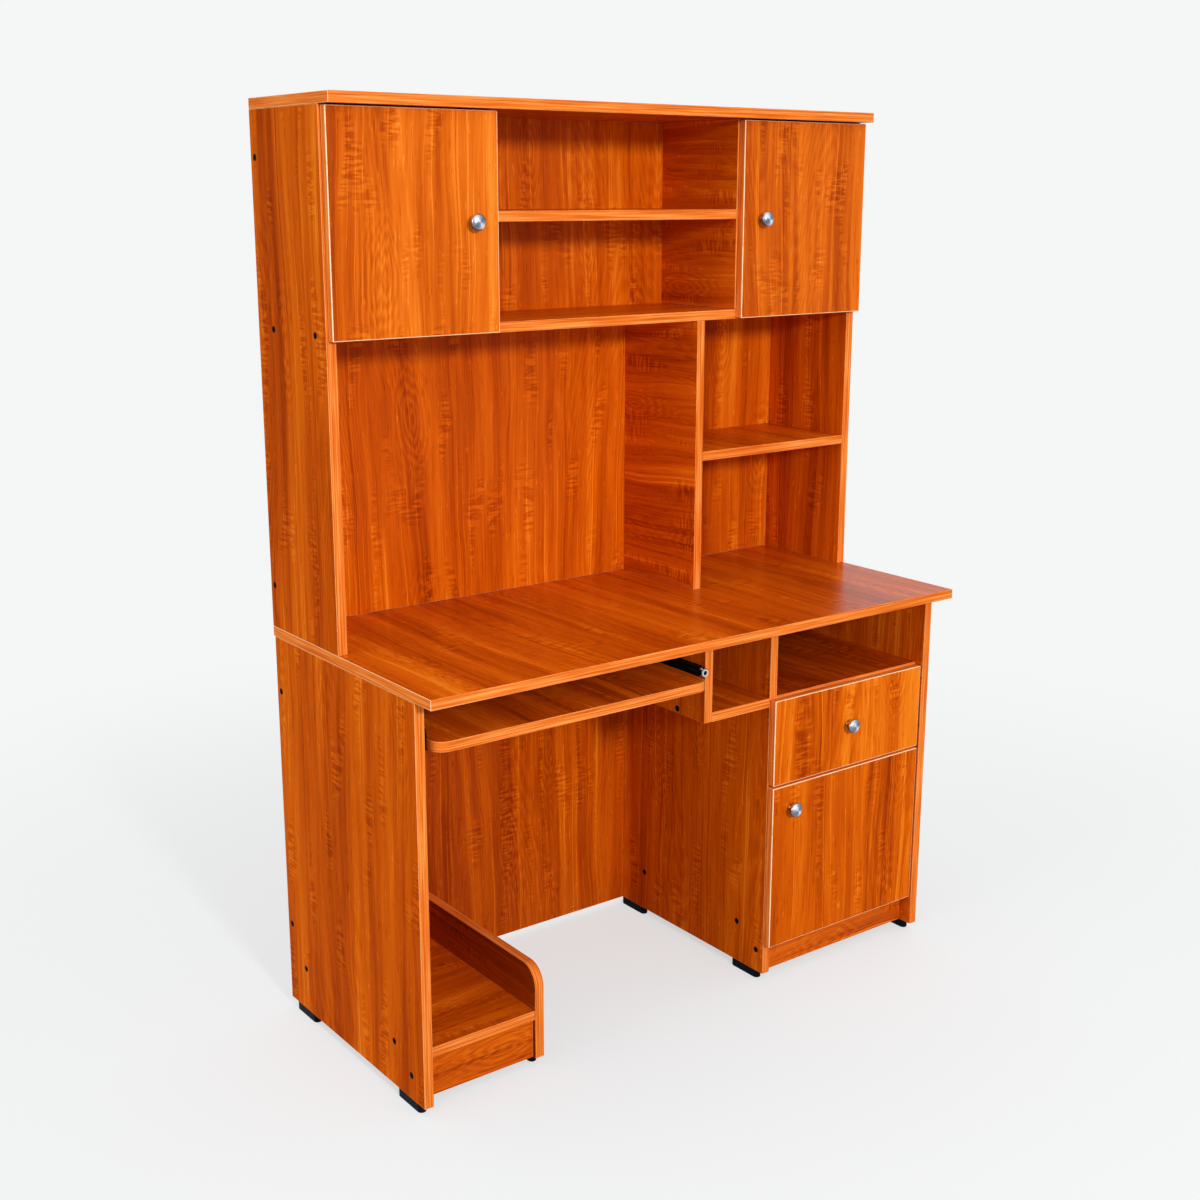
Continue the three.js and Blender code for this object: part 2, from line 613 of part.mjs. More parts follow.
function addHutchDoors() {
  const leftEdge = LEFT_DOOR_REVEAL;
  const leftFree = leftEdge + HUTCH_DOOR_WIDTH;
  const rightEdge = DESK_WIDTH - RIGHT_DOOR_REVEAL;
  const rightFree = rightEdge - HUTCH_DOOR_WIDTH;
  const knobHeight = hutchDoorBottom + HUTCH_KNOB_LIFT;
  addDoor('hutch_left_door',
    box(leftEdge, leftFree, hutchDoorFace, hutchDoorBack, hutchDoorBottom, hutchDoorTop),
    { x: leftFree - HUTCH_LEFT_KNOB_INSET, z: knobHeight },
    { edge: leftEdge, side: 1, panelFace: leftInner });
  addDoor('hutch_right_door',
    box(rightFree, rightEdge, hutchDoorFace, hutchDoorBack, hutchDoorBottom, hutchDoorTop),
    { x: rightFree + HUTCH_RIGHT_KNOB_INSET, z: knobHeight },
    { edge: rightEdge, side: -1, panelFace: rightInner });
}

function addCabinetDoor() {
  addDoor('cabinet_door',
    box(cabinetLeft, frontRight, frontFace, frontBack, cabinetDoorBottom, cabinetDoorTop),
    { x: cabinetLeft + DOOR_KNOB_INSET, z: cabinetDoorTop - DOOR_KNOB_DROP },
    { edge: frontRight, side: -1, panelFace: rightInner });
}

// Roller runners. A pair is placed by the case faces, the carried board's underside and the front end.
// Standoffs count from the case face towards the carried board, heights from the board's underside.
const webOuter = SEAT_GAP + RUNNER_STEEL;
const channelEdge = webOuter + CHANNEL_DEPTH;
const movingEdge = channelEdge + MOVING_SIDE_GAP;
const rollerTop = ROLLER_CENTRE_LIFT + ROLLER_RADIUS;
const rollerBottom = ROLLER_CENTRE_LIFT - ROLLER_RADIUS;
const channelTop = rollerTop + ROLLER_RUNNING_GAP;
const channelBottom = rollerBottom - ROLLER_RUNNING_GAP;
const frontRollerStart = movingEdge + SEAT_GAP;
const frontRollerEnd = frontRollerStart + FRONT_ROLLER_WIDTH;
const rearRollerStart = webOuter + MOVING_SIDE_GAP;
const rearRollerEnd = rearRollerStart + REAR_ROLLER_WIDTH;
const movingInner = frontRollerEnd + ROLLER_SIDE_GAP;
const movingOuter = movingInner + RUNNER_STEEL;
const runnerSpace = movingOuter + SEAT_GAP;

// The fixed channel is open towards the carried board; its web runs on as a tongue with the front roller
function fixedRail(place, front, back) {
  const channelFront = front + ROLLER_RADIUS * 2 + CUT_OVERRUN;
  const channel = [
    [SEAT_GAP, channelBottom - RUNNER_STEEL],
    [channelEdge, channelBottom - RUNNER_STEEL],
    [channelEdge, channelBottom],
    [webOuter, channelBottom],
    [webOuter, channelTop],
    [channelEdge, channelTop],
    [channelEdge, channelTop + RUNNER_STEEL],
    [SEAT_GAP, channelTop + RUNNER_STEEL],
  ];
  const tongueLow = ROLLER_CENTRE_LIFT - TONGUE_HEIGHT / 2;
  const tongueHigh = ROLLER_CENTRE_LIFT + TONGUE_HEIGHT / 2;
  const tongue = [
    [SEAT_GAP, tongueLow], [webOuter, tongueLow], [webOuter, tongueHigh], [SEAT_GAP, tongueHigh]];
  const roller = [
    [0, SEAT_GAP],
    [AXLE_SHOULDER_RADIUS, SEAT_GAP],
    [AXLE_SHOULDER_RADIUS, frontRollerStart],
    [ROLLER_RADIUS, frontRollerStart],
    [ROLLER_RADIUS, frontRollerEnd],
    [ROLLER_HUB_RADIUS, frontRollerEnd],
    [ROLLER_HUB_RADIUS, frontRollerEnd - ROLLER_HUB_DEPTH],
    [AXLE_RADIUS, frontRollerEnd - ROLLER_HUB_DEPTH],
    [AXLE_RADIUS, frontRollerEnd],
    [0, frontRollerEnd],
  ];
  return join([
    runAlongY(place.profile(channel), channelFront, back),
    runAlongY(place.profile(tongue), front, channelFront + CUT_OVERRUN),
    place.turned(roller, front + ROLLER_RADIUS),
  ]);
}

// The moving rail hooks under the carried board, passes over the front roller and holds the rear roller
function movingRail(place, front, back) {
  const footEnd = runnerSpace + RUNNER_FOOT_WIDTH;
  const footTop = -SEAT_GAP;
  const footBottom = footTop - RUNNER_STEEL;
  const rail = [
    [movingInner, footBottom],
    [footEnd, footBottom],
    [footEnd, footTop],
    [movingOuter, footTop],
    [movingOuter, channelTop + RUNNER_STEEL],
    [movingEdge, channelTop + RUNNER_STEEL],
    [movingEdge, channelTop],
    [movingInner, channelTop],
  ];
  const roller = [
    [0, rearRollerStart],
    [ROLLER_RADIUS, rearRollerStart],
    [ROLLER_RADIUS, rearRollerEnd],
    [AXLE_SHOULDER_RADIUS, rearRollerEnd],
    [AXLE_SHOULDER_RADIUS, movingOuter],
    [0, movingOuter],
  ];
  return join([
    runAlongY(place.profile(rail), front + ROLLER_RADIUS, back),
    place.turned(roller, back - REAR_ROLLER_INSET),
  ]);
}

// Turns standoff and height pairs into places beside one case face; side is the way to the board
function runnerPlace(caseFace, side, underside) {
  const profile = (points) => {
    const placed = points.map(([off, up]) => [caseFace + side * off, underside + up]);
    return side > 0 ? placed : placed.reverse();
  };
  const turned = (points, y) => {
    const geometry = turnAboutX(points, ROLLER_STEPS);
    if (side < 0) {
      geometry.rotateZ(Math.PI);
    }
    return geometry.translate(caseFace, y, underside + ROLLER_CENTRE_LIFT);
  };
  return { profile, turned };
}

function addRunners(prefix, leftFace, rightFace, underside, front, back) {
  const sides = [
    ['left', runnerPlace(leftFace, 1, underside)],
    ['right', runnerPlace(rightFace, -1, underside)],
  ];
  for (const [side, place] of sides) {
    addMesh(`${prefix}_rail_${side}`, fixedRail(place, front, back), blackSteel());
    addMesh(`${prefix}_runner_${side}`, movingRail(place, front, back), blackSteel());
  }
}

// Keyboard tray with rounded front corners, hung between the left side panel and the niche upright
function addKeyboardTray() {
  const left = leftInner + runnerSpace;
  const right = nicheLeft - runnerSpace;
  const front = TRAY_SETBACK;
  const back = backFront - TRAY_BACK_SPACE;
  const runnerFront = front + TRAY_RUNNER_SETBACK;
  const runnerBack = back - RUNNER_END_INSET;
  const radius = TRAY_CORNER_RADIUS;
  const plan = new THREE.Shape();
  plan.moveTo(right, back);
  plan.lineTo(left, back);
  plan.absarc(left + radius, front + radius, radius, Math.PI, Math.PI * 1.5, false);
  plan.absarc(right - radius, front + radius, radius, Math.PI * 1.5, Math.PI * 2, false);
  plan.closePath();
  const board = prism(plan, BOARD, TRAY_CORNER_STEPS).translate(0, 0, trayBottom);
  addMesh('tray_board', board, laminate());
  addRunners('tray', leftInner, nicheLeft, trayBottom, runnerFront, runnerBack);
}

// Drawer: a front and a box of thin boards, with the bottom let into grooves in the sides
function addDrawer() {
  const left = cabinetInner + runnerSpace;
  const right = rightInner - runnerSpace;
  const front = frontBack + SEAT_GAP;
  const back = backFront - DRAWER_BACK_SPACE;
  const bottom = drawerFrontBottom + DRAWER_LIFT;
  const top = cabinetShelfBottom - DRAWER_TOP_SPACE;
  const innerLeft = left + DRAWER_BOARD;
  const innerRight = right - DRAWER_BOARD;
  const backFace = back - DRAWER_BOARD;
  const floorBottom = bottom + DRAWER_BOTTOM_LIFT;
  const floorTop = floorBottom + DRAWER_BOTTOM_THICKNESS;
  const floorLeft = innerLeft - GROOVE_DEPTH + SEAT_GAP;
  const floorRight = innerRight + GROOVE_DEPTH - SEAT_GAP;
  const knobX = cabinetLeft + DRAWER_KNOB_INSET;
  const knobZ = drawerFrontBottom + DRAWER_KNOB_LIFT;
  const runnerFront = CABINET_SETBACK + DRAWER_RUNNER_SETBACK;
  const runnerBack = back - RUNNER_END_INSET;
  const frontSpace = box(cabinetLeft, frontRight, frontFace, frontBack, drawerFrontBottom, drawerFrontTop);
  const groove = boxGeometry(box(
    innerLeft - GROOVE_DEPTH, innerRight + GROOVE_DEPTH,
    front - CUT_OVERRUN, backFace - SEAT_GAP / 2,
    floorBottom - SEAT_GAP, floorTop + SEAT_GAP));
  const sideBoard = (x0, x1) => cut(boxGeometry(box(x0, x1, front, back, bottom, top)), [groove]);
  const floorSpace = box(floorLeft, floorRight, front, backFace - SEAT_GAP, floorBottom, floorTop);
  const backSpace = box(innerLeft + SEAT_GAP, innerRight - SEAT_GAP, backFace, back, bottom, top);
  addMesh('drawer_front', cut(boxGeometry(frontSpace), [knobBore(knobX, frontFace, knobZ)]), doorLaminate());
  addMesh('drawer_left_side', sideBoard(left, innerLeft), drawerBoard());
  addMesh('drawer_right_side', sideBoard(innerRight, right), drawerBoard());
  addMesh('drawer_back', boxGeometry(backSpace), drawerBoard());
  addMesh('drawer_bottom', boxGeometry(floorSpace), drawerBoard());
  addKnob('drawer', knobX, frontFace, knobZ);
  addRunners('drawer', cabinetInner, rightInner, bottom, runnerFront, runnerBack);
}

addDesktop();
addSidePanels();
addBackBoards();
addCabinetBoards();
addNicheBoards();
addComputerStand();
addFeet();
addHutchBoards();
addHutchDoors();
addCabinetDoor();
addKeyboardTray();
addDrawer();

// The part's origin is on the floor, under the middle of the desktop
desk.position.set(-DESK_WIDTH / 2, -DESK_DEPTH / 2, 0);
const part = new THREE.Group();
part.add(desk);

export default part;
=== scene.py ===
"""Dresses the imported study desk: woodgrain laminate, edge bands, knobs, screws, hinge cups and rollers.

Everything is in metres in the desk's own frame: X to the right, Y to the back, Z up from the floor.
"""

import math

import bmesh
import bpy
from mathutils import Matrix, Vector


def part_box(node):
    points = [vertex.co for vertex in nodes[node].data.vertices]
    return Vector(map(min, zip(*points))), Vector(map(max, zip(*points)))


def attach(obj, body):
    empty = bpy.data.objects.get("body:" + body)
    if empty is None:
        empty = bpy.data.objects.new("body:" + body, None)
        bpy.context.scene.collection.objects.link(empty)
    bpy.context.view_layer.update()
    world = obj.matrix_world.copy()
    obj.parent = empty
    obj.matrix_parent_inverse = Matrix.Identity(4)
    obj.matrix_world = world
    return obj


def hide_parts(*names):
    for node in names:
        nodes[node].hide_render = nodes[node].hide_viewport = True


MM = 0.001
CASE = "desk_case"

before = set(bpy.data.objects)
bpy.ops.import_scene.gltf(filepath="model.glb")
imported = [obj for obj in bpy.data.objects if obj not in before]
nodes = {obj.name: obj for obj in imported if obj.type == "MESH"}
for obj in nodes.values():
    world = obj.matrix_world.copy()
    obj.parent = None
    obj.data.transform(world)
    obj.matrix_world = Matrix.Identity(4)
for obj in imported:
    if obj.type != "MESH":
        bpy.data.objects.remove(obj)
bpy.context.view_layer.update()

# Sockets of a Mix node that mixes colours
MIX_FACTOR, MIX_FIRST, MIX_SECOND = 0, 6, 7
MIX_RESULT = 2


# Node trees: add makes one node and returns one of its outputs, if it has any
def add(tree, kind, inputs=None, output=0, **settings):
    node = tree.nodes.new(kind)
    for name, value in settings.items():
        setattr(node, name, value)
    for key, value in (inputs or {}).items():
        if isinstance(value, bpy.types.NodeSocket):
            tree.links.new(value, node.inputs[key])
        else:
            node.inputs[key].default_value = value
    return node.outputs[output] if node.outputs else None


def maths(tree, operation, *values, clamp=False):
    inputs = dict(enumerate(values))
    return add(tree, "ShaderNodeMath", inputs, operation=operation, use_clamp=clamp)


def vector_maths(tree, operation, *values):
    return add(tree, "ShaderNodeVectorMath", dict(enumerate(values)), operation=operation)


def between(tree, value, low, high, new_low=0.0, new_high=1.0):
    inputs = {"Value": value, "From Min": low, "From Max": high, "To Min": new_low, "To Max": new_high}
    return add(tree, "ShaderNodeMapRange", inputs, interpolation_type="SMOOTHSTEP")


def noise(tree, place, stretch, detail=2.0, roughness=0.5):
    """Noise with as many cells to the unit of place, along each axis, as stretch says."""
    stretched = vector_maths(tree, "MULTIPLY", place, stretch)
    inputs = {"Vector": stretched, "Scale": 1.0, "Detail": detail, "Roughness": roughness}
    return add(tree, "ShaderNodeTexNoise", inputs)


def weigh(tree, *pairs, start=0.0):
    """The sum of start and each value times its weight."""
    total = None
    for value, weight in pairs:
        first = start if total is None else total
        total = maths(tree, "MULTIPLY_ADD", value, weight, first)
    return total


def mix_colour(tree, factor, first, second):
    node = tree.nodes.new("ShaderNodeMix")
    node.data_type = "RGBA"
    for key, value in ((MIX_FACTOR, factor), (MIX_FIRST, first), (MIX_SECOND, second)):
        if isinstance(value, bpy.types.NodeSocket):
            tree.links.new(value, node.inputs[key])
        else:
            node.inputs[key].default_value = value
    return node.outputs[MIX_RESULT]


def ramp(tree, factor, stops):
    node = tree.nodes.new("ShaderNodeValToRGB")
    elements = node.color_ramp.elements
    elements[0].position, elements[0].color = stops[0]
    elements[1].position, elements[1].color = stops[-1]
    for position, colour in stops[1:-1]:
        elements.new(position).color = colour
    tree.links.new(factor, node.inputs[0])
    return node.outputs[0]


def new_material(name):
    material = bpy.data.materials.new(name)
    material.use_nodes = True
    material.node_tree.nodes.clear()
    return material, material.node_tree


def finish_material(tree, **inputs):
    names = {key.replace("_", " "): value for key, value in inputs.items()}
    shader = add(tree, "ShaderNodeBsdfPrincipled", names)
    add(tree, "ShaderNodeOutputMaterial", {"Surface": shader})


def object_place(tree):
    return add(tree, "ShaderNodeTexCoord", output="Object")


def parted(tree, vector):
    """The X, Y and Z outputs of a vector."""
    split = tree.nodes.new("ShaderNodeSeparateXYZ")
    tree.links.new(vector, split.inputs[0])
    return split.outputs


def length(tree, vector):
    return add(tree, "ShaderNodeVectorMath", {0: vector}, output="Value", operation="LENGTH")


def bump(tree, height, strength, distance):
    return add(tree, "ShaderNodeBump", {"Height": height, "Strength": strength, "Distance": distance})


# The woodgrain. A phase is in radians, and each full turn of it is one line of the figure
STRIPS_PER_METRE = 18.0
STRIP_DRIFT = 0.35
NARROW_PER_WIDE_STRIP = 3.1
CELLS_WITHOUT_RINGS = 0.72
RING_PHASE = 105.0
FLAME_PHASE = 210.0
TONE_WEIGHTS = {
    "bands": 1.2, "streaks": 0.74, "fine": 0.34, "wide_strips": 0.24, "narrow_strips": 0.17, "rings": 0.13,
    "flames": 0.08, "ripples": 0.19, "threads": 0.28, "seams": -0.22, "flecks": 0.26, "pores": -0.28,
}
TONE_START = -0.845


def across_strips(tree, place):
    """A number that grows by 1 from strip to strip across the grain, and drifts a little along it."""
    along = parted(tree, place)
    drift = maths(tree, "MULTIPLY", along["Y"], STRIP_DRIFT)
    return maths(tree, "MULTIPLY_ADD", along["X"], STRIPS_PER_METRE, drift)


def strip_tone(tree, across, count):
    """A tone from 0 to 1 that changes from strip to strip."""
    strips = add(tree, "ShaderNodeTexVoronoi", {"W": across, "Scale": count}, output="Color",
                 voronoi_dimensions="1D")
    return add(tree, "ShaderNodeSeparateColor", {"Color": strips})


def ring_figure(tree, swayed, streaks):
    """Closed rings in some of the cells."""
    ring_place = vector_maths(tree, "MULTIPLY", swayed, (8.0, 2.6, 0.0))
    cells = tree.nodes.new("ShaderNodeTexVoronoi")
    cells.voronoi_dimensions = "2D"
    tree.links.new(ring_place, cells.inputs["Vector"])
    cells.inputs["Scale"].default_value = 1.0
    chance = add(tree, "ShaderNodeSeparateColor", {"Color": cells.outputs["Color"]})
    chosen = maths(tree, "GREATER_THAN", chance, CELLS_WITHOUT_RINGS)
    near = between(tree, cells.outputs["Distance"], 0.42, 0.12)
    phase = weigh(tree, (cells.outputs["Distance"], RING_PHASE), (streaks, 22.0))
    return maths(tree, "MULTIPLY", maths(tree, "SINE", phase), maths(tree, "MULTIPLY", near, chosen))


def flame_figure(tree, place, swayed, streaks):
    """Contour lines of soft hills, drawn out along the grain."""
    hills = noise(tree, swayed, (6.5, 1.3, 3.0), 0.0)
    phase = weigh(tree, (hills, FLAME_PHASE), (streaks, 14.0))
    mask = between(tree, noise(tree, place, (7.0, 1.7, 4.0), 1.0), 0.5, 0.62)
    return maths(tree, "MULTIPLY", maths(tree, "SINE", phase), mask)


def ripple_figure(tree, swayed):
    """Short bars across the grain, in patches."""
    bars = between(tree, noise(tree, swayed, (34.0, 175.0, 12.0), 2.0, 0.55), 0.4, 0.6, -1.0, 1.0)
    mask = between(tree, noise(tree, swayed, (24.0, 6.0, 5.0), 1.0), 0.55, 0.69)
    return maths(tree, "MULTIPLY", bars, mask)


def make_figure_group():
    """The laminate's woodgrain, made once. Place is (across, along, through) the grain, in metres."""
    tree = bpy.data.node_groups.new("cherry_figure", "ShaderNodeTree")
    tree.interface.new_socket("Place", in_out="INPUT", socket_type="NodeSocketVector")
    tree.interface.new_socket("Tone", in_out="OUTPUT", socket_type="NodeSocketFloat")
    tree.interface.new_socket("Relief", in_out="OUTPUT", socket_type="NodeSocketFloat")
    place = add(tree, "NodeGroupInput")
    long_sway = noise(tree, place, (5.0, 1.1, 5.0), 1.0)
    short_sway = noise(tree, place, (13.0, 5.0, 7.0), 1.0)
    shift = weigh(tree, (long_sway, 0.07), (short_sway, 0.014), start=-0.042)
    swayed = vector_maths(tree, "ADD", place, add(tree, "ShaderNodeCombineXYZ", {"X": shift}))
    across = across_strips(tree, swayed)
    streaks = noise(tree, swayed, (85.0, 3.6, 9.0), 3.0, 0.6)
    fine = noise(tree, swayed, (470.0, 13.0, 40.0), 1.0, 0.6)
    parts = {
        "bands": noise(tree, swayed, (17.0, 0.9, 4.0)),
        "streaks": streaks,
        "fine": fine,
        "wide_strips": strip_tone(tree, across, 1.0),
        "narrow_strips": strip_tone(tree, across, NARROW_PER_WIDE_STRIP),
        "rings": ring_figure(tree, swayed, streaks),
        "flames": flame_figure(tree, place, swayed, streaks),
        "ripples": ripple_figure(tree, swayed),
        "threads": between(tree, noise(tree, swayed, (220.0, 1.1, 20.0), 1.0), 0.63, 0.71),
        "seams": between(tree, noise(tree, swayed, (170.0, 0.9, 12.0), 1.0), 0.64, 0.71),
        "flecks": between(tree, noise(tree, swayed, (240.0, 40.0, 20.0), 1.0), 0.66, 0.78),
        "pores": between(tree, noise(tree, swayed, (300.0, 30.0, 33.0), 1.0), 0.66, 0.78),
    }
    pairs = [(parts[name], weight) for name, weight in TONE_WEIGHTS.items()]
    tone = weigh(tree, *pairs, start=TONE_START)
    add(tree, "NodeGroupOutput", {"Tone": tone, "Relief": fine})
    return tree


AXES = "XYZ"
SEED_STEP = (1.37, 2.11, 0.73)
figure_group = make_figure_group()


def grain_place(tree, place, thickness, grain, seed):
    """The board's own (across, along, through), moved to its own stretch of veneer."""
    along = parted(tree, place)
    across = next(axis for axis in AXES if axis not in (thickness, grain))
    picked = {key: along[axis] for key, axis in zip(AXES, (across, grain, thickness))}
    ordered = add(tree, "ShaderNodeCombineXYZ", picked)
    return vector_maths(tree, "ADD", ordered, [seed * step for step in SEED_STEP])


# Colour stops from the darkest tone to the lightest, and an IOR for each kind of face
LAMINATE = [
    (0.0, (0.31, 0.031, 0.0006, 1)),
    (0.28, (0.48, 0.062, 0.0010, 1)),
    (0.52, (0.63, 0.097, 0.0016, 1)),
    (0.78, (0.78, 0.146, 0.0035, 1)),
    (1.0, (0.92, 0.235, 0.012, 1)),
]
# Darker stops for the guard panel: painted shade of the computer stand's inside
PAINTED_SHADE_LAMINATE = [
    (0.0, (0.17, 0.020, 0.0005, 1)),
    (0.28, (0.26, 0.034, 0.0008, 1)),
    (0.52, (0.36, 0.052, 0.0012, 1)),
    (0.78, (0.46, 0.075, 0.0020, 1)),
    (1.0, (0.60, 0.12, 0.006, 1)),
]
DOOR = [
    (0.0, (0.36, 0.042, 0.0009, 1)),
    (0.28, (0.54, 0.081, 0.0020, 1)),
    (0.52, (0.71, 0.130, 0.0045, 1)),
    (0.78, (0.85, 0.185, 0.0100, 1)),
    (1.0, (0.96, 0.28, 0.028, 1)),
]
BAND = [
    (0.15, (0.66, 0.110, 0.008, 1)),
    (0.5, (0.88, 0.205, 0.025, 1)),
    (0.85, (1.0, 0.37, 0.085, 1)),
]
PANEL_IOR = 1.033
BOARD_IOR = 1.13
DESKTOP_IOR = 1.24
BAND_IOR = 1.05
ARRIS_IOR = 1.035
BLOTCHES = (9.0, 9.0, 9.0)
GRAIN_BUMP = 0.16
GRAIN_HEIGHT = 0.15 * MM
FINE_HEIGHT = 0.1 * MM


def laminate(name, thickness, grain, seed, stops, ior, lift):
    """Woodgrain laminate for a board's broad faces. A lift above 0 makes all of it lighter."""
    material, tree = new_material(name)
    place = object_place(tree)
    own = grain_place(tree, place, thickness, grain, seed)
    group = tree.nodes.new("ShaderNodeGroup")
    group.node_tree = figure_group
    tree.links.new(own, group.inputs[0])
    tone = maths(tree, "ADD", group.outputs["Tone"], lift, clamp=True)
    relief = group.outputs["Relief"]
    blotches = noise(tree, place, BLOTCHES)
    gloss = weigh(tree, (blotches, 0.12), (relief, 0.03), start=0.21)
    finish_material(tree, Base_Color=ramp(tree, tone, stops), Roughness=gloss, IOR=ior,
                    Normal=bump(tree, relief, GRAIN_BUMP, GRAIN_HEIGHT))
    return material


def band_material(thickness):
    """The edge band of a board's narrow faces, with fine lines along the edge."""
    material, tree = new_material(f"edge_band_{thickness.lower()}")
    place = object_place(tree)
    line_stretch = [330.0 if axis == thickness else 5.0 for axis in AXES]
    lines = noise(tree, place, line_stretch, 2.0, 0.7)
    blotches = noise(tree, place, BLOTCHES)
    tone = weigh(tree, (lines, 2.0), (blotches, 0.3), start=-0.65)
    gloss = weigh(tree, (blotches, 0.12), (lines, 0.06), start=0.26)
    finish_material(tree, Base_Color=ramp(tree, tone, BAND), Roughness=gloss, IOR=BAND_IOR,
                    Normal=bump(tree, lines, GRAIN_BUMP, GRAIN_HEIGHT))
    return material


# Tones of the trimmed corners: a pale one that paints a highlight, and a worn one
CREAM = ((1.0, 0.78, 0.49, 1), (0.97, 0.56, 0.26, 1))
LILAC = ((0.62, 0.46, 0.46, 1), (0.60, 0.28, 0.14, 1))
AMBER = ((0.95, 0.42, 0.14, 1), (0.84, 0.27, 0.06, 1))
WARM = ((0.92, 0.32, 0.09, 1), (0.78, 0.20, 0.032, 1))


def arris_material(name, tones, axis, sign):
    """The trimmed corner of an edge band, with a pale painted highlight on the side that axis and sign
    name, dimmed where it faces up or down, and warm elsewhere.
    """
    material, tree = new_material(name)
    wear = noise(tree, object_place(tree), (34.0, 34.0, 34.0), 3.0, 0.65)
    pale, worn = tones
    colour = mix_colour(tree, between(tree, wear, 0.32, 0.46), worn, pale)
    facing = parted(tree, add(tree, "ShaderNodeTexCoord", output="Normal"))
    side = maths(tree, "MULTIPLY", facing[axis], float(sign))
    # Bevels that face up or down move toward the worn tone, which dims the painted highlight there
    painted_highlight_dimming = maths(tree, "ABSOLUTE", facing["Z"])
    colour = mix_colour(tree, between(tree, painted_highlight_dimming, 0.3, 0.6, 0.0, 0.75), colour, worn)
    warm = mix_colour(tree, between(tree, wear, 0.4, 0.6), WARM[1], WARM[0])
    colour = mix_colour(tree, between(tree, side, 0.2, 0.4), warm, colour)
    finish_material(tree, Base_Color=colour, Roughness=0.4, IOR=ARRIS_IOR,
                    Normal=bump(tree, wear, 0.1, FINE_HEIGHT))
    return material


def plastic_material():
    material, tree = new_material("glide_plastic")
    place = object_place(tree)
    grain = noise(tree, place, (900.0, 900.0, 900.0))
    scuffs = between(tree, noise(tree, place, (60.0, 60.0, 200.0), 3.0, 0.7), 0.55, 0.75)
    colour = mix_colour(tree, scuffs, (0.0030, 0.0070, 0.015, 1), (0.009, 0.017, 0.032, 1))
    gloss = weigh(tree, (scuffs, 0.2), (grain, 0.1), start=0.3)
    finish_material(tree, Base_Color=colour, Roughness=gloss, IOR=1.085,
                    Normal=bump(tree, grain, 0.12, FINE_HEIGHT))
    return material


def black_steel_material():
    material, tree = new_material("runner_black_steel")
    place = object_place(tree)
    grain = noise(tree, place, (700.0, 120.0, 700.0))
    rubbed = between(tree, noise(tree, place, (90.0, 14.0, 90.0), 3.0, 0.7), 0.56, 0.72)
    colour = mix_colour(tree, rubbed, (0.004, 0.004, 0.005, 1), (0.03, 0.032, 0.036, 1))
    gloss = weigh(tree, (grain, 0.2), (rubbed, 0.1), start=0.3)
    finish_material(tree, Base_Color=colour, Roughness=gloss, IOR=1.1,
                    Normal=bump(tree, grain, 0.1, FINE_HEIGHT))
    return material


def screw_material():
    material, tree = new_material("screw_black_oxide")
    grain = noise(tree, object_place(tree), (500.0, 500.0, 500.0), 3.0, 0.6)
    colour = mix_colour(tree, grain, (0.0012, 0.0016, 0.003, 1), (0.006, 0.007, 0.010, 1))
    finish_material(tree, Base_Color=colour, IOR=1.06, Roughness=weigh(tree, (grain, 0.3), start=0.35),
                    Normal=bump(tree, grain, 0.1, FINE_HEIGHT))
    return material


def hinge_material():
    """Bright nickel plate with fine brushed lines along Y."""
    material, tree = new_material("hinge_nickel")
    place = object_place(tree)
    lines = noise(tree, place, (700.0, 60.0, 700.0), 3.0, 0.6)
    cloud = noise(tree, place, (40.0, 40.0, 40.0))
    brightness = weigh(tree, (lines, 0.6), (cloud, 0.6), start=-0.1)
    colour = mix_colour(tree, brightness, (0.36, 0.36, 0.37, 1), (0.62, 0.62, 0.64, 1))
    gloss = weigh(tree, (lines, 0.16), (cloud, 0.1), start=0.17)
    finish_material(tree, Base_Color=colour, Metallic=1.0, Roughness=gloss,
                    Normal=bump(tree, lines, 0.08, FINE_HEIGHT))
    return material


# Where the painted highlight wedges stand around the knob's axis
HIGHLIGHT_WEDGE_ANGLE = math.radians(128)
KNOB_TONES = [(0.1, (0.13, 0.155, 0.21, 1)), (0.5, (0.33, 0.37, 0.46, 1)), (0.85, (0.86, 0.89, 0.96, 1))]


def turned_material():
    """Satin metal turned on a lathe: fine rings, and a pair of pale wedges that paint the highlights of a
    turned face.
    """
    material, tree = new_material("knob_satin")
    box_place = add(tree, "ShaderNodeTexCoord", output="Generated")
    from_middle = vector_maths(tree, "SUBTRACT", box_place, (0.5, 0.5, 0.5))
    from_axis = vector_maths(tree, "MULTIPLY", from_middle, (1, 0, 1))
    along = parted(tree, from_axis)
    angle = maths(tree, "ARCTAN2", along["Z"], along["X"])
    painted_highlight_wedges = maths(tree, "COSINE", maths(tree, "MULTIPLY_ADD", angle, 2.0, -2.0 * HIGHLIGHT_WEDGE_ANGLE))
    ring_place = add(tree, "ShaderNodeCombineXYZ", {"X": length(tree, from_axis)})
    rings = noise(tree, ring_place, (90.0, 1.0, 1.0), 3.0, 0.7)
    cloud = noise(tree, object_place(tree), (120.0, 120.0, 120.0))
    tone = weigh(tree, (painted_highlight_wedges, 0.30), (rings, 0.30), (cloud, 0.35), start=0.15)
    colour = ramp(tree, tone, KNOB_TONES)
    gloss = weigh(tree, (rings, 0.14), (cloud, 0.1), start=0.16)
    finish_material(tree, Base_Color=colour, Metallic=1.0, Roughness=gloss,
                    Normal=bump(tree, rings, 0.1, FINE_HEIGHT))
    return material


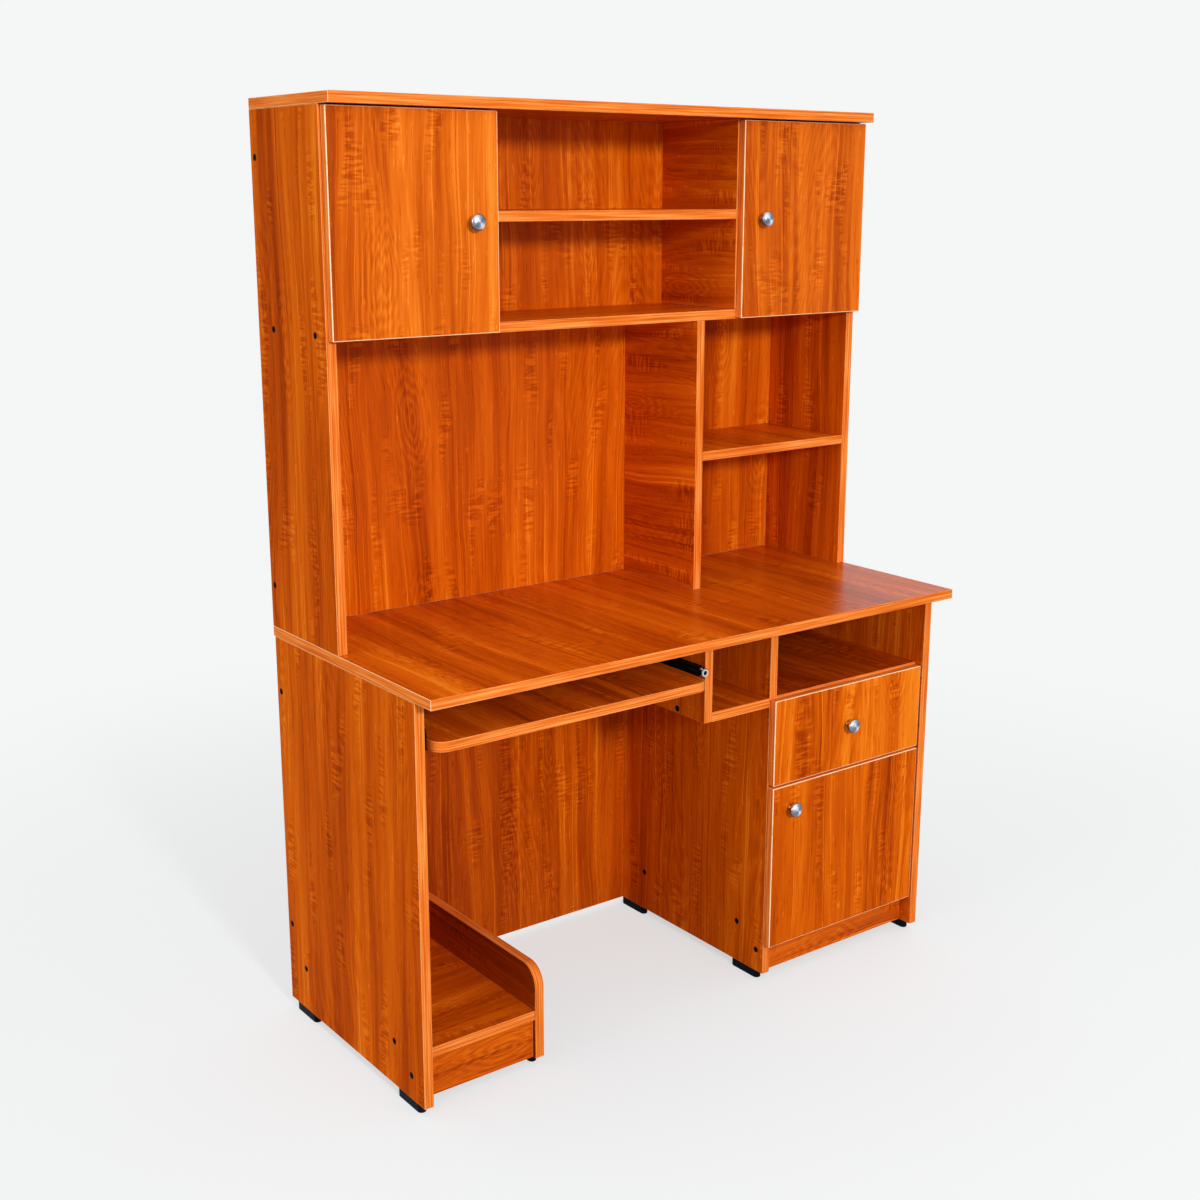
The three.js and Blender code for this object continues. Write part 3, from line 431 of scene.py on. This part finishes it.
def nylon_material():
    material, tree = new_material("roller_nylon")
    place = object_place(tree)
    cloud = noise(tree, place, (160.0, 160.0, 160.0), 3.0)
    colour = mix_colour(tree, cloud, (0.50, 0.53, 0.58, 1), (0.72, 0.75, 0.80, 1))
    finish_material(tree, Base_Color=colour, Roughness=weigh(tree, (cloud, 0.2), start=0.3),
                    Subsurface_Weight=0.15, Subsurface_Scale=2 * MM,
                    Normal=bump(tree, cloud, 0.05, FINE_HEIGHT))
    return material


PLASTIC = plastic_material()
BLACK_STEEL = black_steel_material()
SCREW_BLACK = screw_material()
NYLON = nylon_material()
KNOB_SATIN = turned_material()
HINGE_STEEL = hinge_material()

# Boards. Each row is: node, thickness axis, grain axis, tone lift, arris style
BOARDS = [
    ("desktop", "Z", "Y", 0.0, "left"),
    ("left_side_panel", "X", "Z", 0.0, "left_dull"),
    ("right_side_panel", "X", "Z", 0.0, "plain"),
    ("modesty_panel", "Y", "Z", -0.03, "plain"),
    ("cabinet_back_panel", "Y", "Z", 0.0, "plain"),
    ("cabinet_left_panel", "X", "Z", 0.02, "plain"),
    # A lift far below 0 that paints the shade in the cabinet's niche
    ("cabinet_niche_shelf", "Z", "Y", -0.24, "plain"),
    ("cabinet_bottom_shelf", "Z", "Y", 0.0, "plain"),
    ("cabinet_plinth", "Y", "X", 0.0, "plain"),
    ("niche_upright", "X", "Z", 0.0, "plain"),
    ("niche_shelf", "Z", "Y", 0.0, "plain"),
    ("cpu_shelf", "Z", "X", -0.03, "right"),
    ("cpu_plinth", "Y", "X", 0.0, "plain"),
    # The guard panel's lift below 0 adds to its painted shade
    ("cpu_guard_panel", "X", "Y", -0.15, "plain"),
    ("hutch_left_panel", "X", "Z", 0.0, "left_dull"),
    ("hutch_right_panel", "X", "Z", -0.05, "plain"),
    ("hutch_top_board", "Z", "X", 0.0, "left"),
    ("hutch_back_panel", "Y", "Z", 0.04, "bottom"),
    ("hutch_bottom_shelf", "Z", "X", 0.0, "plain"),
    ("hutch_left_divider", "X", "Y", 0.0, "plain"),
    ("hutch_right_divider", "X", "Y", 0.04, "bottom"),
    ("hutch_centre_shelf", "Z", "X", 0.0, "plain"),
    ("hutch_lower_divider", "X", "Y", 0.0, "bottom"),
    ("hutch_side_shelf", "Z", "Y", 0.0, "plain"),
    ("tray_board", "Z", "Y", 0.0, "top"),
    ("drawer_left_side", "X", "Y", -0.05, "plain"),
    ("drawer_right_side", "X", "Y", -0.05, "plain"),
    ("drawer_back", "Y", "X", -0.05, "plain"),
    ("drawer_bottom", "Z", "Y", -0.05, "plain"),
]
# Doors and drawer front. Each row is: node, colour stops, tone lift, IOR
# The stops and lifts differ from front to front, so that the cabinet door, the drawer front and the right
# hutch door come out darker than the left hutch door: painted light falling off lower down and to the
# right.
FRONTS = [
    ("hutch_left_door_panel", DOOR, 0.0, 1.13),
    ("hutch_right_door_panel", DOOR, -0.14, 1.13),
    ("cabinet_door_panel", LAMINATE, -0.06, 1.06),
    ("drawer_front", LAMINATE, 0.17, 1.06),
]
# The one board whose darker stops paint the shade it stands in, inside the computer stand
PAINTED_SHADE_BOARD = "cpu_guard_panel"
# Arris styles. Each one has its tone and the side that shows it as a painted highlight
ARRIS = {
    "plain": arris_material("arris_plain", WARM, "X", -1),
    "left": arris_material("arris_left", CREAM, "X", -1),
    "left_dull": arris_material("arris_left_dull", AMBER, "X", -1),
    "right": arris_material("arris_right", LILAC, "X", 1),
    "top": arris_material("arris_top", AMBER, "Z", 1),
    "bottom": arris_material("arris_bottom", LILAC, "Z", -1),
    "front": arris_material("arris_front", CREAM, "Y", -1),
}
BANDS = {axis: band_material(axis) for axis in AXES}

# Widths of the rounded edges
BOARD_ARRIS = 0.75 * MM
FRONT_ARRIS = 1.7 * MM
ARM_ARRIS = 0.4 * MM
RAIL_ARRIS = 0.2 * MM
FOOT_ARRIS = 1.2 * MM

# The least length of an edge that is rounded, so that the rims of small holes stay as they are
HOLE_RIM = 5 * MM
CUP_RIM = 8 * MM
TRAY_CURVE = 4 * MM
STEEL_CURVE = 3 * MM
FOOT_CURVE = 2 * MM

WELD = 0.01 * MM
ARRIS_SLOT = 1
BAND_SLOT = 2
SHARP = math.radians(50)
EDGE_WEIGHT = "bevel_weight_edge"


def edge_picker(shortest, thickness=None):
    """Node group: joins split points, marks sharp edges of at least the shortest length, and shades smooth.

    With a thickness axis, it also gives a board's narrow faces the edge band's material.
    """
    name = f"edge_picker_{shortest / MM:.0f}_{thickness}"
    if name in bpy.data.node_groups:
        return bpy.data.node_groups[name]
    tree = bpy.data.node_groups.new(name, "GeometryNodeTree")
    tree.interface.new_socket("Geometry", in_out="INPUT", socket_type="NodeSocketGeometry")
    tree.interface.new_socket("Geometry", in_out="OUTPUT", socket_type="NodeSocketGeometry")
    geometry = add(tree, "NodeGroupInput")
    geometry = add(tree, "GeometryNodeRemoveAttribute", {"Geometry": geometry, "Name": "custom_normal"})
    geometry = add(tree, "GeometryNodeMergeByDistance", {"Geometry": geometry, "Distance": WELD})
    sharp = maths(tree, "GREATER_THAN", add(tree, "GeometryNodeInputMeshEdgeAngle"), SHARP)
    ends = tree.nodes.new("GeometryNodeInputMeshEdgeVertices")
    gap = add(tree, "ShaderNodeVectorMath", {0: ends.outputs["Position 1"], 1: ends.outputs["Position 2"]},
              output="Value", operation="DISTANCE")
    weight = maths(tree, "MULTIPLY", sharp, maths(tree, "GREATER_THAN", gap, shortest))
    geometry = add(tree, "GeometryNodeStoreNamedAttribute",
                   {"Geometry": geometry, "Name": EDGE_WEIGHT, "Value": weight},
                   data_type="FLOAT", domain="EDGE")
    geometry = add(tree, "GeometryNodeSetShadeSmooth", {"Geometry": geometry, "Shade Smooth": True},
                   domain="FACE")
    smooth = maths(tree, "SUBTRACT", 1.0, maths(tree, "SUBTRACT", sharp, weight))
    geometry = add(tree, "GeometryNodeSetShadeSmooth", {"Geometry": geometry, "Shade Smooth": smooth},
                   domain="EDGE")
    if thickness:
        facing = parted(tree, add(tree, "GeometryNodeInputNormal"))
        narrow = maths(tree, "LESS_THAN", maths(tree, "ABSOLUTE", facing[thickness]), 0.5)
        geometry = add(tree, "GeometryNodeSetMaterialIndex",
                       {"Geometry": geometry, "Selection": narrow, "Material Index": BAND_SLOT})
    add(tree, "NodeGroupOutput", {"Geometry": geometry})
    return tree


def soften(node, material, edge_material, width, shortest, thickness=None):
    """Rounds a CAD node's sharp edges longer than shortest, by modifiers, and they show edge_material.

    A board, which has a thickness axis, also shows its edge band.
    """
    node.data.materials.clear()
    for slot_material in (material, edge_material, BANDS.get(thickness, material)):
        node.data.materials.append(slot_material)
    node.modifiers.new("edges", "NODES").node_group = edge_picker(shortest, thickness)
    bevel = node.modifiers.new("arris", "BEVEL")
    bevel.width = width
    bevel.segments = 2
    bevel.limit_method = "WEIGHT"
    bevel.material = ARRIS_SLOT
    bevel.use_clamp_overlap = False
    bevel.face_strength_mode = "FSTR_ALL"
    normals = node.modifiers.new("normals", "WEIGHTED_NORMAL")
    normals.use_face_influence = True
    normals.keep_sharp = True


FACE_IOR = {"X": PANEL_IOR, "Y": BOARD_IOR, "Z": BOARD_IOR}
for seed, (name, thickness, grain, lift, arris) in enumerate(BOARDS, 1):
    ior = DESKTOP_IOR if name == "desktop" else FACE_IOR[thickness]
    stops = PAINTED_SHADE_LAMINATE if name == PAINTED_SHADE_BOARD else LAMINATE
    material = laminate(f"laminate_{name}", thickness, grain, seed, stops, ior, lift)
    rim = TRAY_CURVE if arris == "top" else HOLE_RIM
    soften(nodes[name], material, ARRIS[arris], BOARD_ARRIS, rim, thickness)
for seed, (name, stops, lift, ior) in enumerate(FRONTS, len(BOARDS) + 1):
    material = laminate(f"laminate_{name}", "Y", "Z", seed, stops, ior, lift)
    soften(nodes[name], material, ARRIS["front"], FRONT_ARRIS, CUP_RIM, "Y")

# Turned pieces: each profile point is a radius and how far it lies along outward from the centre
SMOOTH_ANGLE = math.radians(30)


def lathe(name, profile, centre, outward, material, body, steps=48):
    """A turned piece that rides on a body. The profile goes from axis to axis, or closes on itself."""
    mesh = bpy.data.meshes.new(name)
    build = bmesh.new()
    turn = Vector((0, 0, 1)).rotation_difference(Vector(outward)).to_matrix().to_4x4()
    place = Matrix.Translation(centre) @ turn
    rings = []
    for radius, along in profile:
        if radius == 0:
            rings.append([build.verts.new(place @ Vector((0, 0, along)))])
            continue
        angles = [2 * math.pi * step / steps for step in range(steps)]
        rings.append([build.verts.new(place @ Vector((radius * math.cos(a), radius * math.sin(a), along)))
                      for a in angles])
    for first, second in zip(rings, rings[1:]):
        for step in range(steps):
            after = (step + 1) % steps
            corners = [first[step % len(first)], first[after % len(first)],
                       second[after % len(second)], second[step % len(second)]]
            kept = list(dict.fromkeys(corners))
            if len(kept) > 2:
                build.faces.new(kept)
    bmesh.ops.recalc_face_normals(build, faces=build.faces)
    build.to_mesh(mesh)
    build.free()
    piece = bpy.data.objects.new(name, mesh)
    bpy.context.scene.collection.objects.link(piece)
    mesh.materials.append(material)
    mesh.polygons.foreach_set("use_smooth", [True] * len(mesh.polygons))
    mesh.set_sharp_from_angle(angle=SMOOTH_ANGLE)
    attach(piece, body)
    return piece


# Profiles are in millimetres
FRONTWARD = (0, -1, 0)
BACKWARD = (0, 1, 0)
KNOB_PROFILE = [(0, 0.3), (5.6, 0.3), (5.6, 1.6), (5.2, 2.4), (5.0, 3.4), (5.0, 5.4), (5.4, 6.8),
                (6.6, 8.3), (8.8, 9.8), (11.2, 11.2), (13.0, 12.8), (14.1, 14.6), (14.5, 16.4),
                (14.3, 18.2), (13.5, 20.0), (11.9, 21.6), (9.6, 22.9), (6.6, 23.8), (3.3, 24.3), (0, 24.5)]
KNOB_SCREW_HEAD = [(0, 0.3), (4, 0.3), (4, 1.2), (3.5, 1.9), (2.2, 2.25), (1.4, 2.3), (1.0, 1.2), (0, 1.1)]
KNOB_SCREW_RADIUS = 2
KNOB_SCREW_START = -0.6
KNOB_SCREW_OVERRUN = 0.4


def scaled(profile):
    return [(radius * MM, along * MM) for radius, along in profile]


def add_knob(prefix, panel, body):
    """A turned satin knob in place of the CAD one, with its pan-head screw on the inner face."""
    low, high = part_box(f"{prefix}_knob")
    face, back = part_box(panel)[0].y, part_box(panel)[1].y
    x, z = (low.x + high.x) / 2, (low.z + high.z) / 2
    knob = lathe(f"{prefix}_turned_knob", scaled(KNOB_PROFILE), (x, face, z), FRONTWARD, KNOB_SATIN, body,
                 steps=64)
    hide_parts(f"{prefix}_knob")
    lathe(f"{prefix}_knob_screw_head", scaled(KNOB_SCREW_HEAD), (x, back, z), BACKWARD, HINGE_STEEL, body,
          steps=24)
    end = (back - face) / MM + KNOB_SCREW_OVERRUN
    shank = [(0, KNOB_SCREW_START), (KNOB_SCREW_RADIUS, KNOB_SCREW_START),
             (KNOB_SCREW_RADIUS, end), (0, end)]
    lathe(f"{prefix}_knob_screw_shank", scaled(shank), (x, face, z), BACKWARD, HINGE_STEEL, body,
          steps=16)


add_knob("drawer", "drawer_front", "drawer")
for door in ("cabinet_door", "hutch_left_door", "hutch_right_door"):
    add_knob(door, f"{door}_panel", door)

# Case screws: black heads with a socket, over the holes of the upright boards and all but flush. The black
# heads are the screws' own; their flat black rim over the hole's edge stands in for the shade in the hole.
SCREW_HEAD = [(0, -1.9), (1.9, -1.9), (1.9, -0.1), (2.4, 0.05), (5.8, 0.05), (6.1, 0.0), (6.1, -0.1),
              (4.98, -0.2), (4.98, -3.0), (0, -3.0)]
SHELF_SCREW_FRONT = 73 * MM
SHELF_SCREW_BACK = 75 * MM
STAND_SCREW_BACK = 42 * MM
HUTCH_SCREW_FRONT = 37.5 * MM
HUTCH_SCREW_BACK = 34 * MM
BACK_SCREW_LOW = 156 * MM
BACK_SCREW_HIGH = 101 * MM
HUTCH_BACK_SCREW_END = 78 * MM
PLINTH_SCREW_DROP = 30 * MM


def middle(node, axis):
    low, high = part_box(node)
    index = AXES.index(axis)
    return (low[index] + high[index]) / 2


def screw_places():
    """Each screw as (face x, direction out of the face, y, z), from the boards that it joins."""
    back_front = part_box("modesty_panel")[0].y
    stand_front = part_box("cpu_guard_panel")[0].y
    shelf_row = [stand_front + SHELF_SCREW_FRONT, back_front - SHELF_SCREW_BACK]
    stand_row = [stand_front + SHELF_SCREW_FRONT, back_front - STAND_SCREW_BACK]
    hutch_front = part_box("hutch_left_panel")[0].y
    hutch_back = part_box("hutch_back_panel")[0].y
    hutch_row = [hutch_front + HUTCH_SCREW_FRONT, hutch_back - HUTCH_SCREW_BACK]
    panel_low, panel_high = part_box("left_side_panel")
    hutch_low, hutch_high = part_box("hutch_left_panel")
    back_column = [panel_low.z + BACK_SCREW_LOW, panel_high.z - BACK_SCREW_HIGH]
    hutch_column = [hutch_low.z + HUTCH_BACK_SCREW_END, hutch_high.z - HUTCH_BACK_SCREW_END]
    plinth_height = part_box("cpu_shelf")[0].z - PLINTH_SCREW_DROP
    left_face = (panel_low.x, -1)
    right_face = (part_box("right_side_panel")[1].x, 1)
    guard_face = (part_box("cpu_guard_panel")[1].x, 1)
    niche_face = (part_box("niche_upright")[0].x, -1)
    cabinet_face = (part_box("cabinet_left_panel")[0].x, -1)
    groups = [
        (left_face, [middle("modesty_panel", "Y")], back_column),
        (left_face, stand_row, [middle("cpu_shelf", "Z")]),
        (left_face, [middle("cpu_plinth", "Y")], [plinth_height]),
        (guard_face, stand_row, [middle("cpu_shelf", "Z")]),
        (guard_face, [middle("cpu_plinth", "Y")], [plinth_height]),
        (niche_face, shelf_row, [middle("niche_shelf", "Z")]),
        (cabinet_face, shelf_row, [middle("cabinet_bottom_shelf", "Z")]),
        (cabinet_face, [middle("cabinet_plinth", "Y")], [plinth_height]),
        (right_face, [middle("cabinet_back_panel", "Y")], back_column),
        (right_face, shelf_row, [middle("cabinet_bottom_shelf", "Z"), middle("cabinet_niche_shelf", "Z")]),
        (right_face, [middle("cabinet_plinth", "Y")], [plinth_height]),
        (left_face, [middle("hutch_back_panel", "Y")], hutch_column),
        (left_face, hutch_row, [middle("hutch_bottom_shelf", "Z")]),
        (right_face, [middle("hutch_back_panel", "Y")], hutch_column),
        (right_face, hutch_row, [middle("hutch_bottom_shelf", "Z"), middle("hutch_side_shelf", "Z")]),
    ]
    return [(face, way, y, z) for (face, way), ys, zs in groups for y in ys for z in zs]


for number, (face, way, y, z) in enumerate(screw_places(), 1):
    lathe(f"case_screw_{number:02d}", scaled(SCREW_HEAD), (face, y, z), (way, 0, 0), SCREW_BLACK, CASE,
          steps=24)

# Hinge cups and the screws of the hinge plates
CUP_EDGE = 22.5 * MM
CUP_INSET = 80 * MM
CUP_PROFILE = [(15.6, 0.1), (18.6, 0.1), (18.8, 0.35), (18.5, 0.6), (15.4, 0.6), (14.9, 0.3), (14.7, -11.0),
               (0, -11.0), (0, -11.3), (15.4, -11.3), (15.6, -10.9), (15.6, 0.1)]


def add_hinge_cups(door, edge, way):
    """Pressed steel cups in the recesses of a door's back; way leads from the hinge edge into the door."""
    low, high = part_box(f"{door}_panel")
    for height, name in ((low.z + CUP_INSET, "lower"), (high.z - CUP_INSET, "upper")):
        lathe(f"{door}_{name}_hinge_cup", scaled(CUP_PROFILE), (edge + way * CUP_EDGE, high.y, height),
              BACKWARD, HINGE_STEEL, door)


add_hinge_cups("hutch_left_door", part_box("hutch_left_door_panel")[0].x, 1)
add_hinge_cups("hutch_right_door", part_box("hutch_right_door_panel")[1].x, -1)
add_hinge_cups("cabinet_door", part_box("cabinet_door_panel")[1].x, -1)

PLATE_SCREW = [(0, 0.2), (3.4, 0.2), (3.4, 0.7), (2.6, 1.5), (1.2, 1.8), (0.9, 0.9), (0, 0.8)]
PLATE_SCREW_SPREAD = 16 * MM
PLATE_DEPTH = 2.5 * MM
PLATE_MIDDLE = 23 * MM


def add_plate_screws(arm, way):
    """Two pan heads on the plate of a hinge arm; way leads off the panel's face."""
    low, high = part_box(arm)
    face = (low.x if way > 0 else high.x) + way * PLATE_DEPTH
    y = high.y - PLATE_MIDDLE
    for sign, name in ((-1, "low"), (1, "high")):
        z = (low.z + high.z) / 2 + sign * PLATE_SCREW_SPREAD
        lathe(f"{arm}_{name}_screw", scaled(PLATE_SCREW), (face, y, z), (way, 0, 0), HINGE_STEEL, CASE,
              steps=20)


for door, way in (("hutch_left_door", 1), ("hutch_right_door", -1), ("cabinet_door", -1)):
    for height in ("lower", "upper"):
        arm = f"{door}_{height}_hinge_arm"
        soften(nodes[arm], HINGE_STEEL, HINGE_STEEL, ARM_ARRIS, STEEL_CURVE)
        add_plate_screws(arm, way)

# Runners: coated steel rails with a roller on an axle at the front end of each fixed rail
ROLLER_RADIUS = 7.25 * MM
FRONT_ROLLER = [(2.6, 0.9), (5.2, 0.9), (5.6, 0.2), (6.7, -0.05), (7.3, 0.45), (7.3, 3.55), (6.7, 4.05),
                (5.6, 4.05), (5.2, 3.3), (4.9, 3.0), (2.6, 3.0), (2.6, 0.9)]
AXLE_HEAD = [(0, 3.1), (2.5, 3.1), (2.5, 3.9), (2.0, 4.3), (0, 4.4)]
FRONT_ROLLER_STAND = 7.6 * MM
RAIL_SEAT = 0.3 * MM
# The rail whose roller is of black plastic, and not of pale nylon
BLACK_ROLLER_RAIL = "tray_rail_left"


def add_front_roller(rail, way):
    """The roller at a rail's front end. Way leads off the panel's face."""
    low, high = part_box(rail)
    face = (low.x if way > 0 else high.x) - way * RAIL_SEAT
    centre = (face + way * FRONT_ROLLER_STAND, low.y + ROLLER_RADIUS, (low.z + high.z) / 2)
    material = PLASTIC if rail == BLACK_ROLLER_RAIL else NYLON
    lathe(f"{rail}_roller", scaled(FRONT_ROLLER), centre, (way, 0, 0), material, CASE)
    lathe(f"{rail}_axle_head", scaled(AXLE_HEAD), centre, (way, 0, 0), BLACK_STEEL, CASE,
          steps=24)


# The bumper ring on the front end of the tray's right-hand moving runner, held by a pin in the runner's web
RING = [(4.2, 0.5), (4.2, 2.9), (4.7, 3.3), (6.5, 3.3), (7.1, 2.7), (7.1, 0.5), (4.2, 0.5)]
RING_PLUG = [(0, 0.7), (4.5, 0.7), (4.5, 1.4), (3.9, 1.6), (0, 1.6)]
RING_PIN = [(0, -9.2), (0.58, -9.2), (0.58, 1.5), (0, 1.5)]
RING_STAND = 7.9 * MM
WEB_STAND = 14.1 * MM


def add_bumper_ring():
    low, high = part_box("tray_rail_right")
    face = high.x + RAIL_SEAT
    height = (low.z + high.z) / 2
    centre = (face - RING_STAND, low.y, height)
    lathe("tray_bumper_ring", scaled(RING), centre, FRONTWARD, NYLON, "keyboard_tray")
    lathe("tray_bumper_plug", scaled(RING_PLUG), centre, FRONTWARD, BLACK_STEEL, "keyboard_tray")
    lathe("tray_bumper_pin", scaled(RING_PIN), (face - WEB_STAND, low.y, height), FRONTWARD,
          BLACK_STEEL, "keyboard_tray", steps=12)


add_bumper_ring()

for part in ("tray", "drawer"):
    for side, way in (("left", 1), ("right", -1)):
        soften(nodes[f"{part}_rail_{side}"], BLACK_STEEL, BLACK_STEEL, RAIL_ARRIS, STEEL_CURVE)
        soften(nodes[f"{part}_runner_{side}"], BLACK_STEEL, BLACK_STEEL, RAIL_ARRIS, STEEL_CURVE)
        add_front_roller(f"{part}_rail_{side}", way)

for upright in ("left", "guard", "cabinet", "right"):
    for end in ("front", "back"):
        soften(nodes[f"{upright}_{end}_foot"], PLASTIC, PLASTIC, FOOT_ARRIS, FOOT_CURVE)

# Floor and background
BACKGROUND = (0.913, 0.921, 0.921, 1)
SOFT_LIGHT = (0.98, 0.99, 1.0, 1)
FLOOR_REACH = 30.0
FLOOR_DROP = 0.2 * MM
FLOOR_NEAR = 1.0
FLOOR_FAR = 2.6
FLOOR_GLOW = 0.64
FLOOR_SEEN = (0.90, 0.945, 0.955, 1)
FLOOR_HIDDEN = (0.42, 0.42, 0.42, 1)


def background_rays(tree):
    """1 for rays that come straight from the camera or off a glossy surface."""
    paths = tree.nodes.new("ShaderNodeLightPath")
    mirrored = maths(tree, "MAXIMUM", paths.outputs["Is Glossy Ray"], paths.outputs["Is Transmission Ray"])
    return maths(tree, "MAXIMUM", paths.outputs["Is Camera Ray"], mirrored)


def add_floor():
    """A pale floor that takes shadow near the desk and fades into the background farther off."""
    bpy.ops.mesh.primitive_plane_add(size=2 * FLOOR_REACH, location=(0, 0, -FLOOR_DROP))
    floor = bpy.context.object
    floor.name = "floor"
    material, tree = new_material("pale_floor")
    distance = length(tree, object_place(tree))
    seen = background_rays(tree)
    fade = maths(tree, "MULTIPLY", seen, between(tree, distance, FLOOR_NEAR, FLOOR_FAR, FLOOR_GLOW))
    tint = mix_colour(tree, seen, FLOOR_HIDDEN, FLOOR_SEEN)
    matte = add(tree, "ShaderNodeBsdfDiffuse", {"Color": tint})
    glow = add(tree, "ShaderNodeEmission", {"Color": BACKGROUND, "Strength": 1.0})
    surface = add(tree, "ShaderNodeMixShader", {0: fade, 1: matte, 2: glow})
    add(tree, "ShaderNodeOutputMaterial", {"Surface": surface})
    floor.data.materials.append(material)


def set_world(ambient):
    """White to the camera and to gloss, softer as the light that falls on the desk."""
    world = bpy.data.worlds.new("studio")
    bpy.context.scene.world = world
    world.use_nodes = True
    tree = world.node_tree
    tree.nodes.clear()
    seen = background_rays(tree)
    shown = add(tree, "ShaderNodeBackground", {"Color": BACKGROUND, "Strength": 1.0})
    soft = add(tree, "ShaderNodeBackground", {"Color": SOFT_LIGHT, "Strength": ambient})
    surface = add(tree, "ShaderNodeMixShader", {0: seen, 1: soft, 2: shown})
    add(tree, "ShaderNodeOutputWorld", {"Surface": surface})


def add_sun(name, azimuth, elevation, strength, spread):
    """A distant soft lamp. Azimuth 0 is in front of the desk, positive to its right."""
    data = bpy.data.lights.new(name, "SUN")
    data.energy = strength
    data.angle = math.radians(spread)
    lamp = bpy.data.objects.new(name, data)
    turn, rise = math.radians(azimuth), math.radians(elevation)
    towards = Vector((math.sin(turn) * math.cos(rise), -math.cos(turn) * math.cos(rise), math.sin(rise)))
    lamp.rotation_euler = towards.to_track_quat("Z", "Y").to_euler()
    bpy.context.scene.collection.objects.link(lamp)


def add_softbox(name, place, aim, power, width):
    """A round soft lamp, aimed at a point."""
    data = bpy.data.lights.new(name, "AREA")
    data.shape = "DISK"
    data.size = width
    data.energy = power
    lamp = bpy.data.objects.new(name, data)
    lamp.location = place
    lamp.rotation_euler = (Vector(place) - Vector(aim)).to_track_quat("Z", "Y").to_euler()
    bpy.context.scene.collection.objects.link(lamp)


# The photograph's camera
FOCAL_PIXELS = 1604.27
PICTURE_PIXELS = 1200.0
SENSOR = 36.0
SHIFT_X = 0.0022
SHIFT_Y = -0.0134
CAMERA_PLACE = Vector((-1.8110, -2.3189, 1.5123))
CAMERA_RIGHT = Vector((0.8004, -0.5994, 0.0013))
CAMERA_FORWARD = Vector((0.5826, 0.7774, -0.2371))


def add_camera():
    data = bpy.data.cameras.new("camera")
    data.sensor_width = SENSOR
    data.lens = FOCAL_PIXELS / PICTURE_PIXELS * SENSOR
    data.shift_x = SHIFT_X
    data.shift_y = SHIFT_Y
    data.dof.use_dof = False
    camera = bpy.data.objects.new("camera", data)
    back = -CAMERA_FORWARD.normalized()
    right = CAMERA_RIGHT.normalized()
    up = back.cross(right).normalized()
    right = up.cross(back)
    turned = Matrix((right, up, back)).transposed().to_4x4()
    camera.matrix_world = Matrix.Translation(CAMERA_PLACE) @ turned
    bpy.context.scene.collection.objects.link(camera)
    bpy.context.scene.camera = camera


add_floor()
set_world(ambient=0.72)
add_softbox("key", place=(-1.2, -5.75, 2.75), aim=(0, 0, 0.9), power=196.0, width=0.75)
add_sun("fill", azimuth=-88, elevation=13, strength=0.70, spread=20)
add_camera()
bpy.context.scene.view_settings.view_transform = "Standard"
